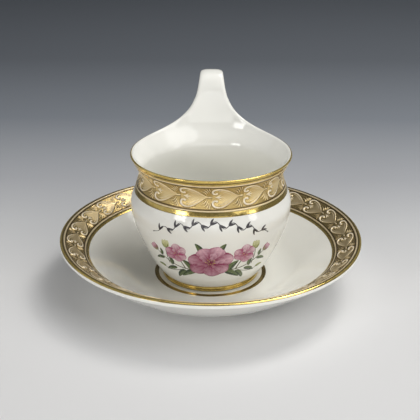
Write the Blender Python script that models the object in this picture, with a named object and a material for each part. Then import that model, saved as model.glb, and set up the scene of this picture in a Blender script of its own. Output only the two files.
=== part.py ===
"""A porcelain friendship cup standing on its saucer.

The cup is a turned bowl whose lip rises at the back into a tongue. A strap handle is joined to the top
of the tongue, bends over and comes down in a loop to the belly. Gold lines and etched gold bands lie in
shallow grooves of the cup and the saucer. The cup is loose and lifts straight up off the saucer.

All sizes are in metres. The saucer stands on z = 0 with its axis on Z, and the handle points along +Y.
Cup heights are measured from the underside of the cup's foot.
"""

import math

import bmesh
import bpy
from mathutils import Vector
from mathutils.geometry import interpolate_bezier

# Cup foot and bowl: radii and heights of the turned outside
CUP_FOOT_RADIUS = 0.0243
CUP_FOOT_HEIGHT = 0.0026
CUP_FOOT_WIDTH = 0.0034
CUP_FOOT_RECESS = 0.0020
CUP_FLOOR_THICKNESS = 0.0034
CUP_SIDE_RADIUS = 0.0327
CUP_SIDE_HEIGHT = 0.0160
CUP_BELLY_RADIUS = 0.0394
CUP_BELLY_HEIGHT = 0.0385
CUP_WAIST_INSET = 0.0048
CUP_LIP_INSET = 0.0003
CUP_LIP_HEIGHT = 0.0634
CUP_LIP_RISE = 0.0094
CUP_WALL = 0.0038
CUP_NECK_THICKNESS = 0.0017
CUP_LIP_THICKNESS = 0.0014
CUP_INNER_FILLET = 0.0066
CUP_FLOOR_FLAT = 0.0115

# Outward slope of the outside, in metres of radius for each metre of height
CUP_FOOT_FLARE = 0.95
CUP_SIDE_FLARE = 0.44
CUP_LIP_FLARE = 0.45
TONGUE_FLARE = 0.27

# Tongue at the back of the lip: it narrows from the lip's width to the strap's width as it rises.
# The blend is the cosine of the azimuth at which the level front starts to rise, before and past the side.
TONGUE_RISE = 0.0156
TONGUE_LEAN = 0.0046
TONGUE_SPREAD = 0.0240
TONGUE_FALL = 0.0076
TONGUE_THICKNESS = 0.0026
TONGUE_SOFTNESS = 4.0
LIP_RISE_BLEND = 0.3

# Strap handle: a loop from the top of the tongue, over a crest, to the belly
STRAP_WIDTH = 0.0112
STRAP_THICKNESS = 0.0040
STRAP_LANDING_WIDTH = 0.0136
STRAP_LANDING_THICKNESS = 0.0080
STRAP_LANDING_FLARE = 0.0050
STRAP_ROUNDNESS = 3.0
STRAP_ROOT_SQUARENESS = 5.0
HANDLE_CREST_RISE = 0.0098
HANDLE_CREST_BACK = 0.0090
HANDLE_REACH = 0.0230
HANDLE_BACK_DROP = 0.0170
HANDLE_LANDING_DROP = 0.0015
HANDLE_LANDING_SLOPE = 0.28

# Saucer
SAUCER_RADIUS = 0.0750
SAUCER_HEIGHT = 0.0270
SAUCER_FLOOR_THICKNESS = 0.0032
SAUCER_FLOOR_MARGIN = 0.0057
SAUCER_KNEE_BLEND = 0.0070
SAUCER_UNDER_FULLNESS = 0.0055
SAUCER_RIM_THICKNESS = 0.0026
SAUCER_FOOT_INSET = 0.0027
SAUCER_FOOT_WIDTH = 0.0036
SAUCER_FOOT_HEIGHT = 0.0022
SAUCER_FOOT_CHAMFER = 0.0005
SAUCER_FOOT_DRAFT = 0.0004

# Gold on the cup
RIM_LINE_DROP = 0.0014
RIM_LINE_WIDTH = 0.0015
NECK_LINE_RISE = 0.0067
NECK_LINE_WIDTH = 0.0022
FOOT_LINE_WIDTH = 0.0021

# Gold on the saucer: widths are measured along the surface
WELL_LINE_CLEARANCE = 0.0019
WELL_LINE_WIDTH = 0.0021
SAUCER_BAND_WIDTH = 0.0125
SAUCER_LINE_WIDTH = 0.0018
SAUCER_RIM_WRAP = 0.0020

# Gold layer: thickness, raised edge beads of the etched bands, and the gaps that keep pieces apart
GOLD_THICKNESS = 0.0005
BEAD_WIDTH = 0.0008
BEAD_HEIGHT = 0.0002
GOLD_GAP = 0.00025
LUTING_GAP = 0.0003
REST_GAP = 0.0003

# Facets
SEGMENTS = 48
BOWL_FLANK_COLUMNS = 48
BOWL_BACK_CROWDING = 0.35
SEAM_COLUMNS = 2
TONGUE_ROWS = 5
RIM_STEPS = 4
INNER_FILLET_STEPS = 4
INNER_WALL_STEPS = 7
NECK_STEPS = 6
BELLY_STEPS = 9
BAND_STEPS = 5
KNEE_STEPS = 5
UNDER_BEND_STEPS = 7
SAUCER_RIM_STEPS = 4
STRAP_STEPS = 9
STRAP_SIDES = 14
STRAP_POINT_SPREAD = 0.8
WELD_DISTANCE = 0.00001
SHARP_ANGLE = math.radians(32)

# Curve constants: the handle share that makes a quarter ellipse, the halvings of a search and a small turn
ARC_PULL = 0.55
HALVINGS = 40
SMALL_TURN = 0.02
SEAM_TOLERANCE = 0.002

# Finishes: colours are linear red, green, blue and alpha
PORCELAIN_COLOUR = (0.80, 0.79, 0.73, 1.0)
BRIGHT_GOLD_COLOUR = (0.72, 0.52, 0.18, 1.0)
ETCHED_GOLD_COLOUR = (0.58, 0.44, 0.24, 1.0)
GLAZE_ROUGHNESS = 0.12
BRIGHT_GOLD_ROUGHNESS = 0.18
ETCHED_GOLD_ROUGHNESS = 0.38

# Places that follow from the sizes above
GROOVE_DEPTH = GOLD_THICKNESS + GOLD_GAP
CUP_WAIST_RADIUS = CUP_BELLY_RADIUS - CUP_WAIST_INSET
CUP_WAIST_HEIGHT = CUP_LIP_HEIGHT - CUP_LIP_RISE
CUP_LIP_RADIUS = CUP_BELLY_RADIUS - CUP_LIP_INSET
LIP_EDGE = CUP_LIP_HEIGHT - CUP_LIP_THICKNESS / 2
SEAM_HEIGHT = CUP_LIP_HEIGHT + TONGUE_RISE
SEAM_RADIUS = CUP_LIP_RADIUS + TONGUE_LEAN
NECK_LINE_BOTTOM = CUP_BELLY_HEIGHT + NECK_LINE_RISE
NECK_LINE_TOP = NECK_LINE_BOTTOM + NECK_LINE_WIDTH
RIM_LINE_TOP = CUP_LIP_HEIGHT - RIM_LINE_DROP
RIM_LINE_BOTTOM = RIM_LINE_TOP - RIM_LINE_WIDTH
FOOT_LINE_TOP = CUP_FOOT_HEIGHT
FOOT_LINE_BOTTOM = FOOT_LINE_TOP - FOOT_LINE_WIDTH
SAUCER_FLOOR = SAUCER_FOOT_HEIGHT + SAUCER_FLOOR_THICKNESS
CUP_SEAT = SAUCER_FLOOR + REST_GAP
WELL_LINE_INNER = CUP_FOOT_RADIUS + WELL_LINE_CLEARANCE
WELL_LINE_OUTER = WELL_LINE_INNER + WELL_LINE_WIDTH
SAUCER_KNEE = WELL_LINE_OUTER + SAUCER_FLOOR_MARGIN + SAUCER_KNEE_BLEND
SAUCER_FOOT_RADIUS = SAUCER_KNEE - SAUCER_FOOT_INSET
SAUCER_RIM_ROUND = SAUCER_RIM_THICKNESS / 2 * math.pi
SAUCER_LINE_END = SAUCER_BAND_WIDTH + SAUCER_LINE_WIDTH


# General helpers


def steps(start, end, count):
    """Values from start to end in count equal steps, both ends included."""
    return [start + (end - start) * i / count for i in range(count + 1)]


def bend(first, corner, last, count):
    """Points of a smooth bend from first to last that leans towards a corner."""
    first, corner, last = Vector(first), Vector(corner), Vector(last)
    handle_out = first.lerp(corner, 2 / 3)
    handle_in = last.lerp(corner, 2 / 3)
    points = interpolate_bezier(first, handle_out, handle_in, last, count + 1)
    return [tuple(point[:2]) for point in points]


def make_material(name, colour, roughness, metallic):
    material = bpy.data.materials.new(name)
    material.use_nodes = True
    shader = material.node_tree.nodes["Principled BSDF"]
    shader.inputs["Base Color"].default_value = colour
    shader.inputs["Roughness"].default_value = roughness
    shader.inputs["Metallic"].default_value = metallic
    material.diffuse_color = colour
    return material


def finish_object(name, bm, material, parent):
    """Turn a bmesh into a named, smoothly shaded object under its parent."""
    bmesh.ops.recalc_face_normals(bm, faces=bm.faces)
    mesh = bpy.data.meshes.new(name)
    bm.to_mesh(mesh)
    bm.free()
    mesh.materials.append(material)
    mesh.shade_smooth()
    mesh.set_sharp_from_angle(angle=SHARP_ANGLE)
    piece = bpy.data.objects.new(name, mesh)
    bpy.context.scene.collection.objects.link(piece)
    piece.parent = parent
    return piece


def turned(name, section, material, parent):
    """Turn a section of (radius, height) points round Z. A section that starts on the axis ends on it."""
    bm = bmesh.new()
    corners = [bm.verts.new((radius, 0, height)) for radius, height in section]
    outline = [bm.edges.new(pair) for pair in zip(corners, corners[1:])]
    if section[0][0] > 0:
        outline.append(bm.edges.new((corners[-1], corners[0])))
    bmesh.ops.spin(
        bm,
        geom=corners + outline,
        cent=(0, 0, 0),
        axis=(0, 0, 1),
        angle=2 * math.pi,
        steps=SEGMENTS,
        use_merge=True,
    )
    bmesh.ops.remove_doubles(bm, verts=bm.verts, dist=WELD_DISTANCE)
    return finish_object(name, bm, material, parent)


def join_rows(bm, rows, closed):
    """Fill between neighbouring rows of vertices with quads. Closed rows run round to their start."""
    for row, following in zip(rows, rows[1:]):
        count = len(row)
        for i in range(count if closed else count - 1):
            j = (i + 1) % count
            bm.faces.new((row[i], row[j], following[j], following[i]))


# Cup outside


def cup_stations():
    """Height, radius and outward slope at the places that set the turned outside."""
    return [
        (CUP_FOOT_HEIGHT, CUP_FOOT_RADIUS, CUP_FOOT_FLARE),
        (CUP_SIDE_HEIGHT, CUP_SIDE_RADIUS, CUP_SIDE_FLARE),
        (CUP_BELLY_HEIGHT, CUP_BELLY_RADIUS, 0),
        (CUP_WAIST_HEIGHT, CUP_WAIST_RADIUS, 0),
        (CUP_LIP_HEIGHT, CUP_LIP_RADIUS, CUP_LIP_FLARE),
        (SEAM_HEIGHT, SEAM_RADIUS, TONGUE_FLARE),
    ]


def cup_outside(height):
    """Radius and outward slope of the cup's outside at a height: a cubic between two stations."""
    stations = cup_stations()
    pairs = list(zip(stations, stations[1:]))
    low, high = next((pair for pair in pairs if height <= pair[1][0]), pairs[-1])
    span = high[0] - low[0]
    t = (height - low[0]) / span
    radius = (
        low[1] * (1 - 3 * t**2 + 2 * t**3)
        + high[1] * (3 * t**2 - 2 * t**3)
        + span * low[2] * (t - 2 * t**2 + t**3)
        + span * high[2] * (t**3 - t**2)
    )
    slope = (
        (high[1] - low[1]) / span * (6 * t - 6 * t**2)
        + low[2] * (1 - 4 * t + 3 * t**2)
        + high[2] * (3 * t**2 - 2 * t)
    )
    return radius, slope


def sunk(height, depth):
    """The (radius, height) point a depth below the outside, square to it, at a height."""
    radius, slope = cup_outside(height)
    length = math.hypot(1, slope)
    return radius - depth / length, height + depth * slope / length


def wall_thickness(height):
    """Wall thickness: even to the belly, thinner at the waist and the lip, thicker again up the tongue."""
    places = [
        (CUP_BELLY_HEIGHT, CUP_WALL),
        (CUP_WAIST_HEIGHT, CUP_NECK_THICKNESS),
        (CUP_LIP_HEIGHT, CUP_LIP_THICKNESS),
        (SEAM_HEIGHT, TONGUE_THICKNESS),
    ]
    if height <= CUP_BELLY_HEIGHT:
        return CUP_WALL
    pairs = list(zip(places, places[1:]))
    low, high = next((pair for pair in pairs if height <= pair[1][0]), pairs[-1])
    share = (height - low[0]) / (high[0] - low[0])
    return low[1] + (high[1] - low[1]) * share


def cup_inside(height):
    """Radius of the inner wall at a height."""
    radius, slope = cup_outside(height)
    return radius - wall_thickness(height) * math.hypot(1, slope)


# Cup bowl with its tongue


def tongue_half_width(height):
    """Half the tongue's width at a height above the lip's edge line, to the middle of its round edge."""
    growth = math.exp(TONGUE_SOFTNESS * (height - LIP_EDGE) / TONGUE_FALL) - 1
    return STRAP_WIDTH / 2 - TONGUE_THICKNESS / 2 + TONGUE_SPREAD / growth ** (1 / TONGUE_SOFTNESS)


SEAM_HALF_WIDTH = tongue_half_width(SEAM_HEIGHT)
SEAM_ANGLE = math.asin(SEAM_HALF_WIDTH / SEAM_RADIUS)


def edge_height(azimuth):
    """Height of the lip's edge line at an azimuth from the back: level in front, rising to the seam."""
    if abs(azimuth) <= SEAM_ANGLE:
        return SEAM_HEIGHT
    low, high = LIP_EDGE, SEAM_HEIGHT
    for _ in range(HALVINGS):
        middle = (low + high) / 2
        across = cup_outside(middle)[0] * abs(math.sin(azimuth))
        if middle > LIP_EDGE and across > tongue_half_width(middle):
            high = middle
        else:
            low = middle
    towards_back = (math.cos(azimuth) + LIP_RISE_BLEND) / (2 * LIP_RISE_BLEND)
    towards_back = min(max(towards_back, 0), 1)
    return LIP_EDGE + (low - LIP_EDGE) * towards_back**2 * (3 - 2 * towards_back)


def around(azimuth, radius, height):
    """A point at an azimuth measured from +Y towards +X."""
    return Vector((radius * math.sin(azimuth), radius * math.cos(azimuth), height))


def edge_middle(azimuth):
    """The middle of the wall on the lip's edge line."""
    height = edge_height(azimuth)
    return around(azimuth, (cup_outside(height)[0] + cup_inside(height)) / 2, height)


def edge_direction(azimuth):
    """The way the lip's round edge bulges: along the wall and square to the edge line."""
    if abs(abs(azimuth) - SEAM_ANGLE) < SEAM_TOLERANCE:
        side = math.copysign(1, azimuth)
        return Vector((math.cos(azimuth), -math.sin(azimuth), 0)) * side
    along = edge_middle(azimuth + SMALL_TURN) - edge_middle(azimuth - SMALL_TURN)
    height = edge_height(azimuth)
    outward = around(azimuth, 1, -cup_outside(height)[1])
    upward = along.cross(outward)
    return -upward.normalized() if upward.z < 0 else upward.normalized()


def lip_edge(azimuth):
    """Points over the lip from the inner wall to the outer wall, without the two walls themselves."""
    height = edge_height(azimuth)
    outer = around(azimuth, cup_outside(height)[0], height)
    inner = around(azimuth, cup_inside(height), height)
    middle = (outer + inner) / 2
    bulge = Vector((0, 0, 0))
    if abs(azimuth) > SEAM_ANGLE - SEAM_TOLERANCE:
        bulge = edge_direction(azimuth) * wall_thickness(height) / 2
    points = []
    for angle in steps(0, math.pi, RIM_STEPS)[1:-1]:
        points.append(middle + (inner - middle) * math.cos(angle) + bulge * math.sin(angle))
    return points


def bowl_inner_rows():
    """Section of the inside, from beside the floor's centre up to the neck."""
    floor = CUP_FOOT_RECESS + CUP_FLOOR_THICKNESS
    start = floor + CUP_INNER_FILLET
    slope = cup_outside(start)[1]
    corner = cup_inside(start) - slope * CUP_INNER_FILLET
    flat = (CUP_FLOOR_FLAT, floor)
    fillet = bend(flat, (corner, floor), (cup_inside(start), start), INNER_FILLET_STEPS)
    wall = [(cup_inside(z), z) for z in steps(start, CUP_WAIST_HEIGHT, INNER_WALL_STEPS)[1:]]
    return fillet + wall


def bowl_outer_rows():
    """Section of the outside, from under the lip down to beside the middle of the foot."""
    neck = steps(RIM_LINE_TOP, NECK_LINE_BOTTOM, NECK_STEPS)
    groove = [sunk(z, GROOVE_DEPTH) for z in neck]
    belly = [sunk(z, 0) for z in steps(NECK_LINE_BOTTOM, CUP_FOOT_HEIGHT, BELLY_STEPS)]
    waisted = CUP_FOOT_RADIUS - GROOVE_DEPTH
    inner_foot = CUP_FOOT_RADIUS - CUP_FOOT_WIDTH
    foot = [
        (waisted, FOOT_LINE_TOP),
        (waisted, FOOT_LINE_BOTTOM),
        (CUP_FOOT_RADIUS, FOOT_LINE_BOTTOM),
        (CUP_FOOT_RADIUS, 0),
        (inner_foot, 0),
        (inner_foot, CUP_FOOT_RECESS),
    ]
    return [sunk(RIM_LINE_TOP, 0)] + groove + belly + foot


def bowl_azimuths():
    """Azimuths of the bowl's upright slices, closer together round the tongue."""
    seam = [SEAM_ANGLE * i / SEAM_COLUMNS for i in range(-SEAM_COLUMNS, SEAM_COLUMNS + 1)]
    sweep = 2 * math.pi - 2 * SEAM_ANGLE
    flanks = []
    for share in steps(0, 1, BOWL_FLANK_COLUMNS)[1:-1]:
        eased = share - BOWL_BACK_CROWDING * math.sin(2 * math.pi * share) / (2 * math.pi)
        azimuth = SEAM_ANGLE + sweep * eased
        flanks.append(azimuth if azimuth <= math.pi else azimuth - 2 * math.pi)
    return seam + flanks


def bowl_slice(azimuth, inner_rows, outer_rows):
    """One upright slice of the bowl: up the inside, over the lip and down the outside."""
    top = edge_height(azimuth)
    inner_tongue = [(cup_inside(z), z) for z in steps(CUP_WAIST_HEIGHT, top, TONGUE_ROWS)[1:]]
    outer_tongue = [(cup_outside(z)[0], z) for z in steps(top, RIM_LINE_TOP, TONGUE_ROWS)[:-1]]
    inside = [around(azimuth, *point) for point in inner_rows + inner_tongue]
    outside = [around(azimuth, *point) for point in outer_tongue + outer_rows]
    return inside + lip_edge(azimuth) + outside


def build_bowl(material, parent):
    bm = bmesh.new()
    inner_rows, outer_rows = bowl_inner_rows(), bowl_outer_rows()
    slices = []
    for azimuth in bowl_azimuths():
        slices.append([bm.verts.new(point) for point in bowl_slice(azimuth, inner_rows, outer_rows)])
    join_rows(bm, slices + slices[:1], closed=False)
    floor_centre = bm.verts.new((0, 0, CUP_FOOT_RECESS + CUP_FLOOR_THICKNESS))
    under_centre = bm.verts.new((0, 0, CUP_FOOT_RECESS))
    for one, other in zip(slices, slices[1:] + slices[:1]):
        bm.faces.new((floor_centre, one[0], other[0]))
        bm.faces.new((under_centre, other[-1], one[-1]))
    return finish_object("cup_bowl", bm, material, parent)


# Cup handle


def strap_path():
    """Centre line of the strap in the (y, z) plane, from above the seam to the belly."""
    root = Vector(((SEAM_RADIUS + cup_inside(SEAM_HEIGHT)) / 2, SEAM_HEIGHT + LUTING_GAP))
    crest = Vector((root.x + HANDLE_CREST_BACK, SEAM_HEIGHT + HANDLE_CREST_RISE))
    back = Vector((CUP_BELLY_RADIUS + HANDLE_REACH, crest.y - HANDLE_BACK_DROP))
    landing = Vector((CUP_BELLY_RADIUS, CUP_BELLY_HEIGHT - HANDLE_LANDING_DROP))
    rise = Vector((TONGUE_FLARE, 1)) * HANDLE_CREST_RISE * ARC_PULL
    level = Vector((HANDLE_CREST_BACK * ARC_PULL, 0))
    over = Vector(((back.x - crest.x) * ARC_PULL, 0))
    drop = Vector((0, HANDLE_BACK_DROP * ARC_PULL))
    fall = Vector((0, (back.y - landing.y) * ARC_PULL))
    inward = Vector((1, HANDLE_LANDING_SLOPE)) * HANDLE_REACH * ARC_PULL
    curves = [
        (root, root + rise, crest - level, crest),
        (crest, crest + over, back + drop, back),
        (back, back - fall, landing + inward, landing),
    ]
    path = [root]
    for knots in curves:
        points = interpolate_bezier(*(knot.to_3d() for knot in knots), STRAP_STEPS + 1)
        path += [point.to_2d() for point in points[1:]]
    return path


def strap_ring(centre, normal, half_width, half_thickness, squareness, curvature):
    """A ring round the strap. Its flat sides bow with the curvature, and its edges are round."""
    ring = []
    for i in range(STRAP_SIDES):
        angle = 2 * math.pi * i / STRAP_SIDES
        across = math.copysign(abs(math.sin(angle)) ** STRAP_POINT_SPREAD, math.sin(angle))
        depth = (1 - abs(across) ** squareness) ** 0.5
        offset = math.copysign(depth * half_thickness, math.cos(angle))
        sideways = across * half_width
        offset -= curvature * sideways**2 / 2
        middle = centre + normal * offset
        ring.append(Vector((sideways, middle.x, middle.y)))
    return ring


def on_belly(point):
    """Move a point level along Y to the belly, leaving the luting gap."""
    radius = cup_outside(point.z)[0] + LUTING_GAP
    return Vector((point.x, math.sqrt(radius**2 - point.x**2), point.z))


def strap_rings():
    """Rings along the strap: wide and thin at the tongue, an oval over the crest, full at the belly."""
    path = strap_path()
    lengths = [0]
    for point, following in zip(path, path[1:]):
        lengths.append(lengths[-1] + (following - point).length)
    root_half_width = SEAM_HALF_WIDTH + TONGUE_THICKNESS / 2
    rings = []
    for i, (point, length) in enumerate(zip(path, lengths)):
        along = (path[min(i + 1, len(path) - 1)] - path[max(i - 1, 0)]).normalized()
        normal = Vector((along.y, -along.x)) if i else Vector((1, 0))
        from_root = math.exp(-length / TONGUE_FALL)
        to_belly = math.exp(-(lengths[-1] - length) / STRAP_LANDING_FLARE)
        half_width = STRAP_WIDTH / 2 + (root_half_width - STRAP_WIDTH / 2) * from_root
        half_width += (STRAP_LANDING_WIDTH - STRAP_WIDTH) / 2 * to_belly
        half_thickness = STRAP_THICKNESS / 2 + (TONGUE_THICKNESS - STRAP_THICKNESS) / 2 * from_root
        half_thickness += (STRAP_LANDING_THICKNESS - STRAP_THICKNESS) / 2 * to_belly
        squareness = STRAP_ROUNDNESS + STRAP_ROOT_SQUARENESS * from_root
        curvature = from_root / SEAM_RADIUS
        rings.append(strap_ring(point, normal, half_width, half_thickness, squareness, curvature))
    rings[-1] = [on_belly(point) for point in rings[-1]]
    return rings


def build_handle(material, parent):
    bm = bmesh.new()
    rings = [[bm.verts.new(point) for point in ring] for ring in strap_rings()]
    join_rows(bm, rings, closed=True)
    bm.faces.new(rings[0])
    landing = rings[-1]
    middle = sum((vertex.co for vertex in landing), Vector()) / len(landing)
    centre = bm.verts.new(on_belly(middle))
    for one, other in zip(landing, landing[1:] + landing[:1]):
        bm.faces.new((centre, one, other))
    return finish_object("cup_handle", bm, material, parent)


# Cup gold


def cup_ring_section(bottom, top, count, bead):
    """Section of a gold ring on the cup's outside between two heights, with or without edge beads."""
    low, high = bottom + GOLD_GAP, top - GOLD_GAP
    face = [sunk(z, 0) for z in steps(low, high, count)]
    if bead:
        face = [sunk(z, -BEAD_HEIGHT) for z in (low, low + BEAD_WIDTH)]
        face += [sunk(z, 0) for z in steps(low + BEAD_WIDTH, high - BEAD_WIDTH, count)]
        face += [sunk(z, -BEAD_HEIGHT) for z in (high - BEAD_WIDTH, high)]
    back = [sunk(z, GOLD_THICKNESS) for z in steps(high, low, count)]
    return face + back


def build_cup_gold(bright, etched, parent):
    rim_line = cup_ring_section(RIM_LINE_BOTTOM, RIM_LINE_TOP, 1, bead=False)
    scroll_band = cup_ring_section(NECK_LINE_TOP, RIM_LINE_BOTTOM, BAND_STEPS, bead=True)
    neck_line = cup_ring_section(NECK_LINE_BOTTOM, NECK_LINE_TOP, 1, bead=False)
    turned("cup_rim_line", rim_line, bright, parent)
    turned("cup_scroll_band", scroll_band, etched, parent)
    turned("cup_neck_line", neck_line, bright, parent)
    outer, inner = CUP_FOOT_RADIUS, CUP_FOOT_RADIUS - GOLD_THICKNESS
    low, high = FOOT_LINE_BOTTOM + GOLD_GAP, FOOT_LINE_TOP - GOLD_GAP
    turned("cup_foot_line", [(outer, low), (outer, high), (inner, high), (inner, low)], bright, parent)


# Saucer


def saucer_wall_angle():
    """Slope of the saucer's wall, from the knee to the middle of the rounded rim."""
    half = SAUCER_RIM_THICKNESS / 2
    return math.atan2(SAUCER_HEIGHT - half - SAUCER_FLOOR, SAUCER_RADIUS - half - SAUCER_KNEE)


def saucer_wall(distance, depth):
    """The point at a distance from the rim, down the upper face of the wall, and a depth below that face.

    A negative distance runs outward over the rounded rim.
    """
    angle = saucer_wall_angle()
    half = SAUCER_RIM_THICKNESS / 2
    turn = angle + math.pi / 2 + min(distance, 0) / half
    reach = half - depth
    radius = SAUCER_RADIUS - half + reach * math.cos(turn)
    height = SAUCER_HEIGHT - half + reach * math.sin(turn)
    slide = max(distance, 0)
    return radius - slide * math.cos(angle), height - slide * math.sin(angle)


def build_saucer_dish(material):
    """The dish: flat floor with the groove of the well line, sloping wall, rounded rim and turned foot."""
    angle = saucer_wall_angle()
    floor = [
        (0, SAUCER_FLOOR),
        (WELL_LINE_INNER, SAUCER_FLOOR),
        (WELL_LINE_INNER, SAUCER_FLOOR - GROOVE_DEPTH),
        (WELL_LINE_OUTER, SAUCER_FLOOR - GROOVE_DEPTH),
        (WELL_LINE_OUTER, SAUCER_FLOOR),
    ]
    corner = SAUCER_KNEE - SAUCER_RIM_THICKNESS / 2 / math.sin(angle)
    blend_rise = SAUCER_KNEE_BLEND * math.sin(angle)
    blend_run = SAUCER_KNEE_BLEND * math.cos(angle)
    knee = bend(
        (corner - SAUCER_KNEE_BLEND, SAUCER_FLOOR),
        (corner, SAUCER_FLOOR),
        (corner + blend_run, SAUCER_FLOOR + blend_rise),
        KNEE_STEPS,
    )
    groove_end = saucer_wall(SAUCER_LINE_END, 0)
    groove = [saucer_wall(d, GROOVE_DEPTH) for d in (SAUCER_LINE_END, SAUCER_BAND_WIDTH / 2, 0)]
    rim = [saucer_wall(d, GROOVE_DEPTH) for d in steps(0, -SAUCER_RIM_WRAP, SAUCER_RIM_STEPS)[1:]]
    under_rim = [saucer_wall(d, 0) for d in steps(-SAUCER_RIM_WRAP, -SAUCER_RIM_ROUND, 2)]
    under_bend = bend(
        saucer_wall(-SAUCER_RIM_ROUND, 0),
        (SAUCER_KNEE + SAUCER_UNDER_FULLNESS, SAUCER_FOOT_HEIGHT),
        (SAUCER_FOOT_RADIUS + SAUCER_FOOT_CHAMFER, SAUCER_FOOT_HEIGHT),
        UNDER_BEND_STEPS,
    )[1:]
    inner_foot = SAUCER_FOOT_RADIUS - SAUCER_FOOT_WIDTH
    foot = [
        (SAUCER_FOOT_RADIUS, SAUCER_FOOT_HEIGHT - SAUCER_FOOT_CHAMFER),
        (SAUCER_FOOT_RADIUS - SAUCER_FOOT_DRAFT, 0),
        (inner_foot, 0),
        (inner_foot - SAUCER_FOOT_DRAFT, SAUCER_FOOT_HEIGHT),
        (0, SAUCER_FOOT_HEIGHT),
    ]
    section = floor + knee + [groove_end] + groove + rim + under_rim + under_bend + foot
    turned("saucer_dish", section, material, None)


def saucer_ring_section(start, end, count, bead):
    """Section of a gold ring on the saucer's wall between two distances from the rim."""
    first, last = start + GOLD_GAP, end - GOLD_GAP
    face = [saucer_wall(d, 0) for d in steps(first, last, count)]
    if bead:
        face = [saucer_wall(d, -BEAD_HEIGHT) for d in (first, first + BEAD_WIDTH)]
        face += [saucer_wall(d, 0) for d in (first + BEAD_WIDTH, last - BEAD_WIDTH)]
        face += [saucer_wall(d, -BEAD_HEIGHT) for d in (last - BEAD_WIDTH, last)]
    back = [saucer_wall(d, GOLD_THICKNESS) for d in steps(last, first, count)]
    return face + back


def build_saucer_gold(bright, etched):
    rim_line = saucer_ring_section(-SAUCER_RIM_WRAP, 0, SAUCER_RIM_STEPS, bead=False)
    scroll_band = saucer_ring_section(0, SAUCER_BAND_WIDTH, 1, bead=True)
    band_line = saucer_ring_section(SAUCER_BAND_WIDTH, SAUCER_LINE_END, 1, bead=False)
    turned("saucer_rim_line", rim_line, bright, None)
    turned("saucer_scroll_band", scroll_band, etched, None)
    turned("saucer_band_line", band_line, bright, None)
    inner, outer = WELL_LINE_INNER + GOLD_GAP, WELL_LINE_OUTER - GOLD_GAP
    bottom = SAUCER_FLOOR - GOLD_THICKNESS
    well = [(inner, bottom), (outer, bottom), (outer, SAUCER_FLOOR), (inner, SAUCER_FLOOR)]
    turned("saucer_well_line", well, bright, None)


def main():
    for leftover in list(bpy.data.objects):
        bpy.data.objects.remove(leftover)
    porcelain = make_material("porcelain", PORCELAIN_COLOUR, GLAZE_ROUGHNESS, metallic=0)
    bright = make_material("bright_gold", BRIGHT_GOLD_COLOUR, BRIGHT_GOLD_ROUGHNESS, metallic=1)
    etched = make_material("etched_gold", ETCHED_GOLD_COLOUR, ETCHED_GOLD_ROUGHNESS, metallic=1)
    lift = bpy.data.objects.new("cup_lift_axis", None)
    lift.location = (0, 0, CUP_SEAT)
    bpy.context.scene.collection.objects.link(lift)
    build_saucer_dish(porcelain)
    build_saucer_gold(bright, etched)
    build_bowl(porcelain, lift)
    build_handle(porcelain, lift)
    build_cup_gold(bright, etched, lift)


main()
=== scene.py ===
"""Looks of a porcelain friendship cup on its saucer: glaze, gilding, etched scrolls and painted flowers.

All sizes are in metres. Cup heights are measured from the underside of the cup's foot. Azimuths are measured
from +Y, where the handle is, towards +X, so the front of the cup lies at an azimuth of half a turn.
"""

import math

import bmesh
import bpy
import numpy as np
from mathutils import Matrix, Vector
from mathutils.geometry import interpolate_bezier


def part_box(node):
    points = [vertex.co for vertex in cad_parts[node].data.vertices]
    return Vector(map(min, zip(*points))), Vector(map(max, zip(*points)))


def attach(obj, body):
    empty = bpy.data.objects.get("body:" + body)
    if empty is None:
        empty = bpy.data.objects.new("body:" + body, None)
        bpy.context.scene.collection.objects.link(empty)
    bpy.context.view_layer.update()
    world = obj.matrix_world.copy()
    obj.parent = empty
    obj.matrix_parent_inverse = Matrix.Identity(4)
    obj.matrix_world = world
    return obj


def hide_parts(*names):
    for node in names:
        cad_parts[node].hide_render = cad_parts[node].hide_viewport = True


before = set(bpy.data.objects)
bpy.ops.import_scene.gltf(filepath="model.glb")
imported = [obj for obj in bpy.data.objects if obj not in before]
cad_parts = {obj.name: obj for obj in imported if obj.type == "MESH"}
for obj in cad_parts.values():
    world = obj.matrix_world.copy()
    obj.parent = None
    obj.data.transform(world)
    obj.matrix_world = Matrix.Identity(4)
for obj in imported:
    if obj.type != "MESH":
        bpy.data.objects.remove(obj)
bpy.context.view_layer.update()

# Cup: height, radius and outward slope of the turned outside, from the foot to the top of the tongue
CUP_STATIONS = np.array(
    [
        (0.0026, 0.0243, 0.95),
        (0.0160, 0.0327, 0.44),
        (0.0385, 0.0394, 0.00),
        (0.0540, 0.0346, 0.00),
        (0.0634, 0.0391, 0.45),
        (0.0790, 0.0437, 0.27),
    ]
)
CUP_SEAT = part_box("cup_bowl")[0].z
CUP_FOOT_HEIGHT, CUP_FOOT_RADIUS = CUP_STATIONS[0][:2]
BELLY_HEIGHT, BELLY_RADIUS = CUP_STATIONS[2][:2]
WAIST_HEIGHT = CUP_STATIONS[3][0]
LIP_HEIGHT = CUP_STATIONS[4][0]
SEAM_HEIGHT, SEAM_RADIUS, SEAM_SLOPE = CUP_STATIONS[5]
CUP_FOOT_WIDTH = 0.0034
CUP_FOOT_RECESS = 0.0020
CUP_FOOT_ROUND = 0.0004
CUP_FLOOR_THICKNESS = 0.0034
CUP_FLOOR = CUP_FOOT_RECESS + CUP_FLOOR_THICKNESS
CUP_INNER_FILLET = 0.0066
CUP_FLOOR_FLAT = 0.0115
CUP_WALL = 0.0038
NECK_THICKNESS = 0.0017
LIP_THICKNESS = 0.0014
LIP_EDGE = LIP_HEIGHT - LIP_THICKNESS / 2
LIP_RISE_BLEND = 0.3
FRONT = math.pi

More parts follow.
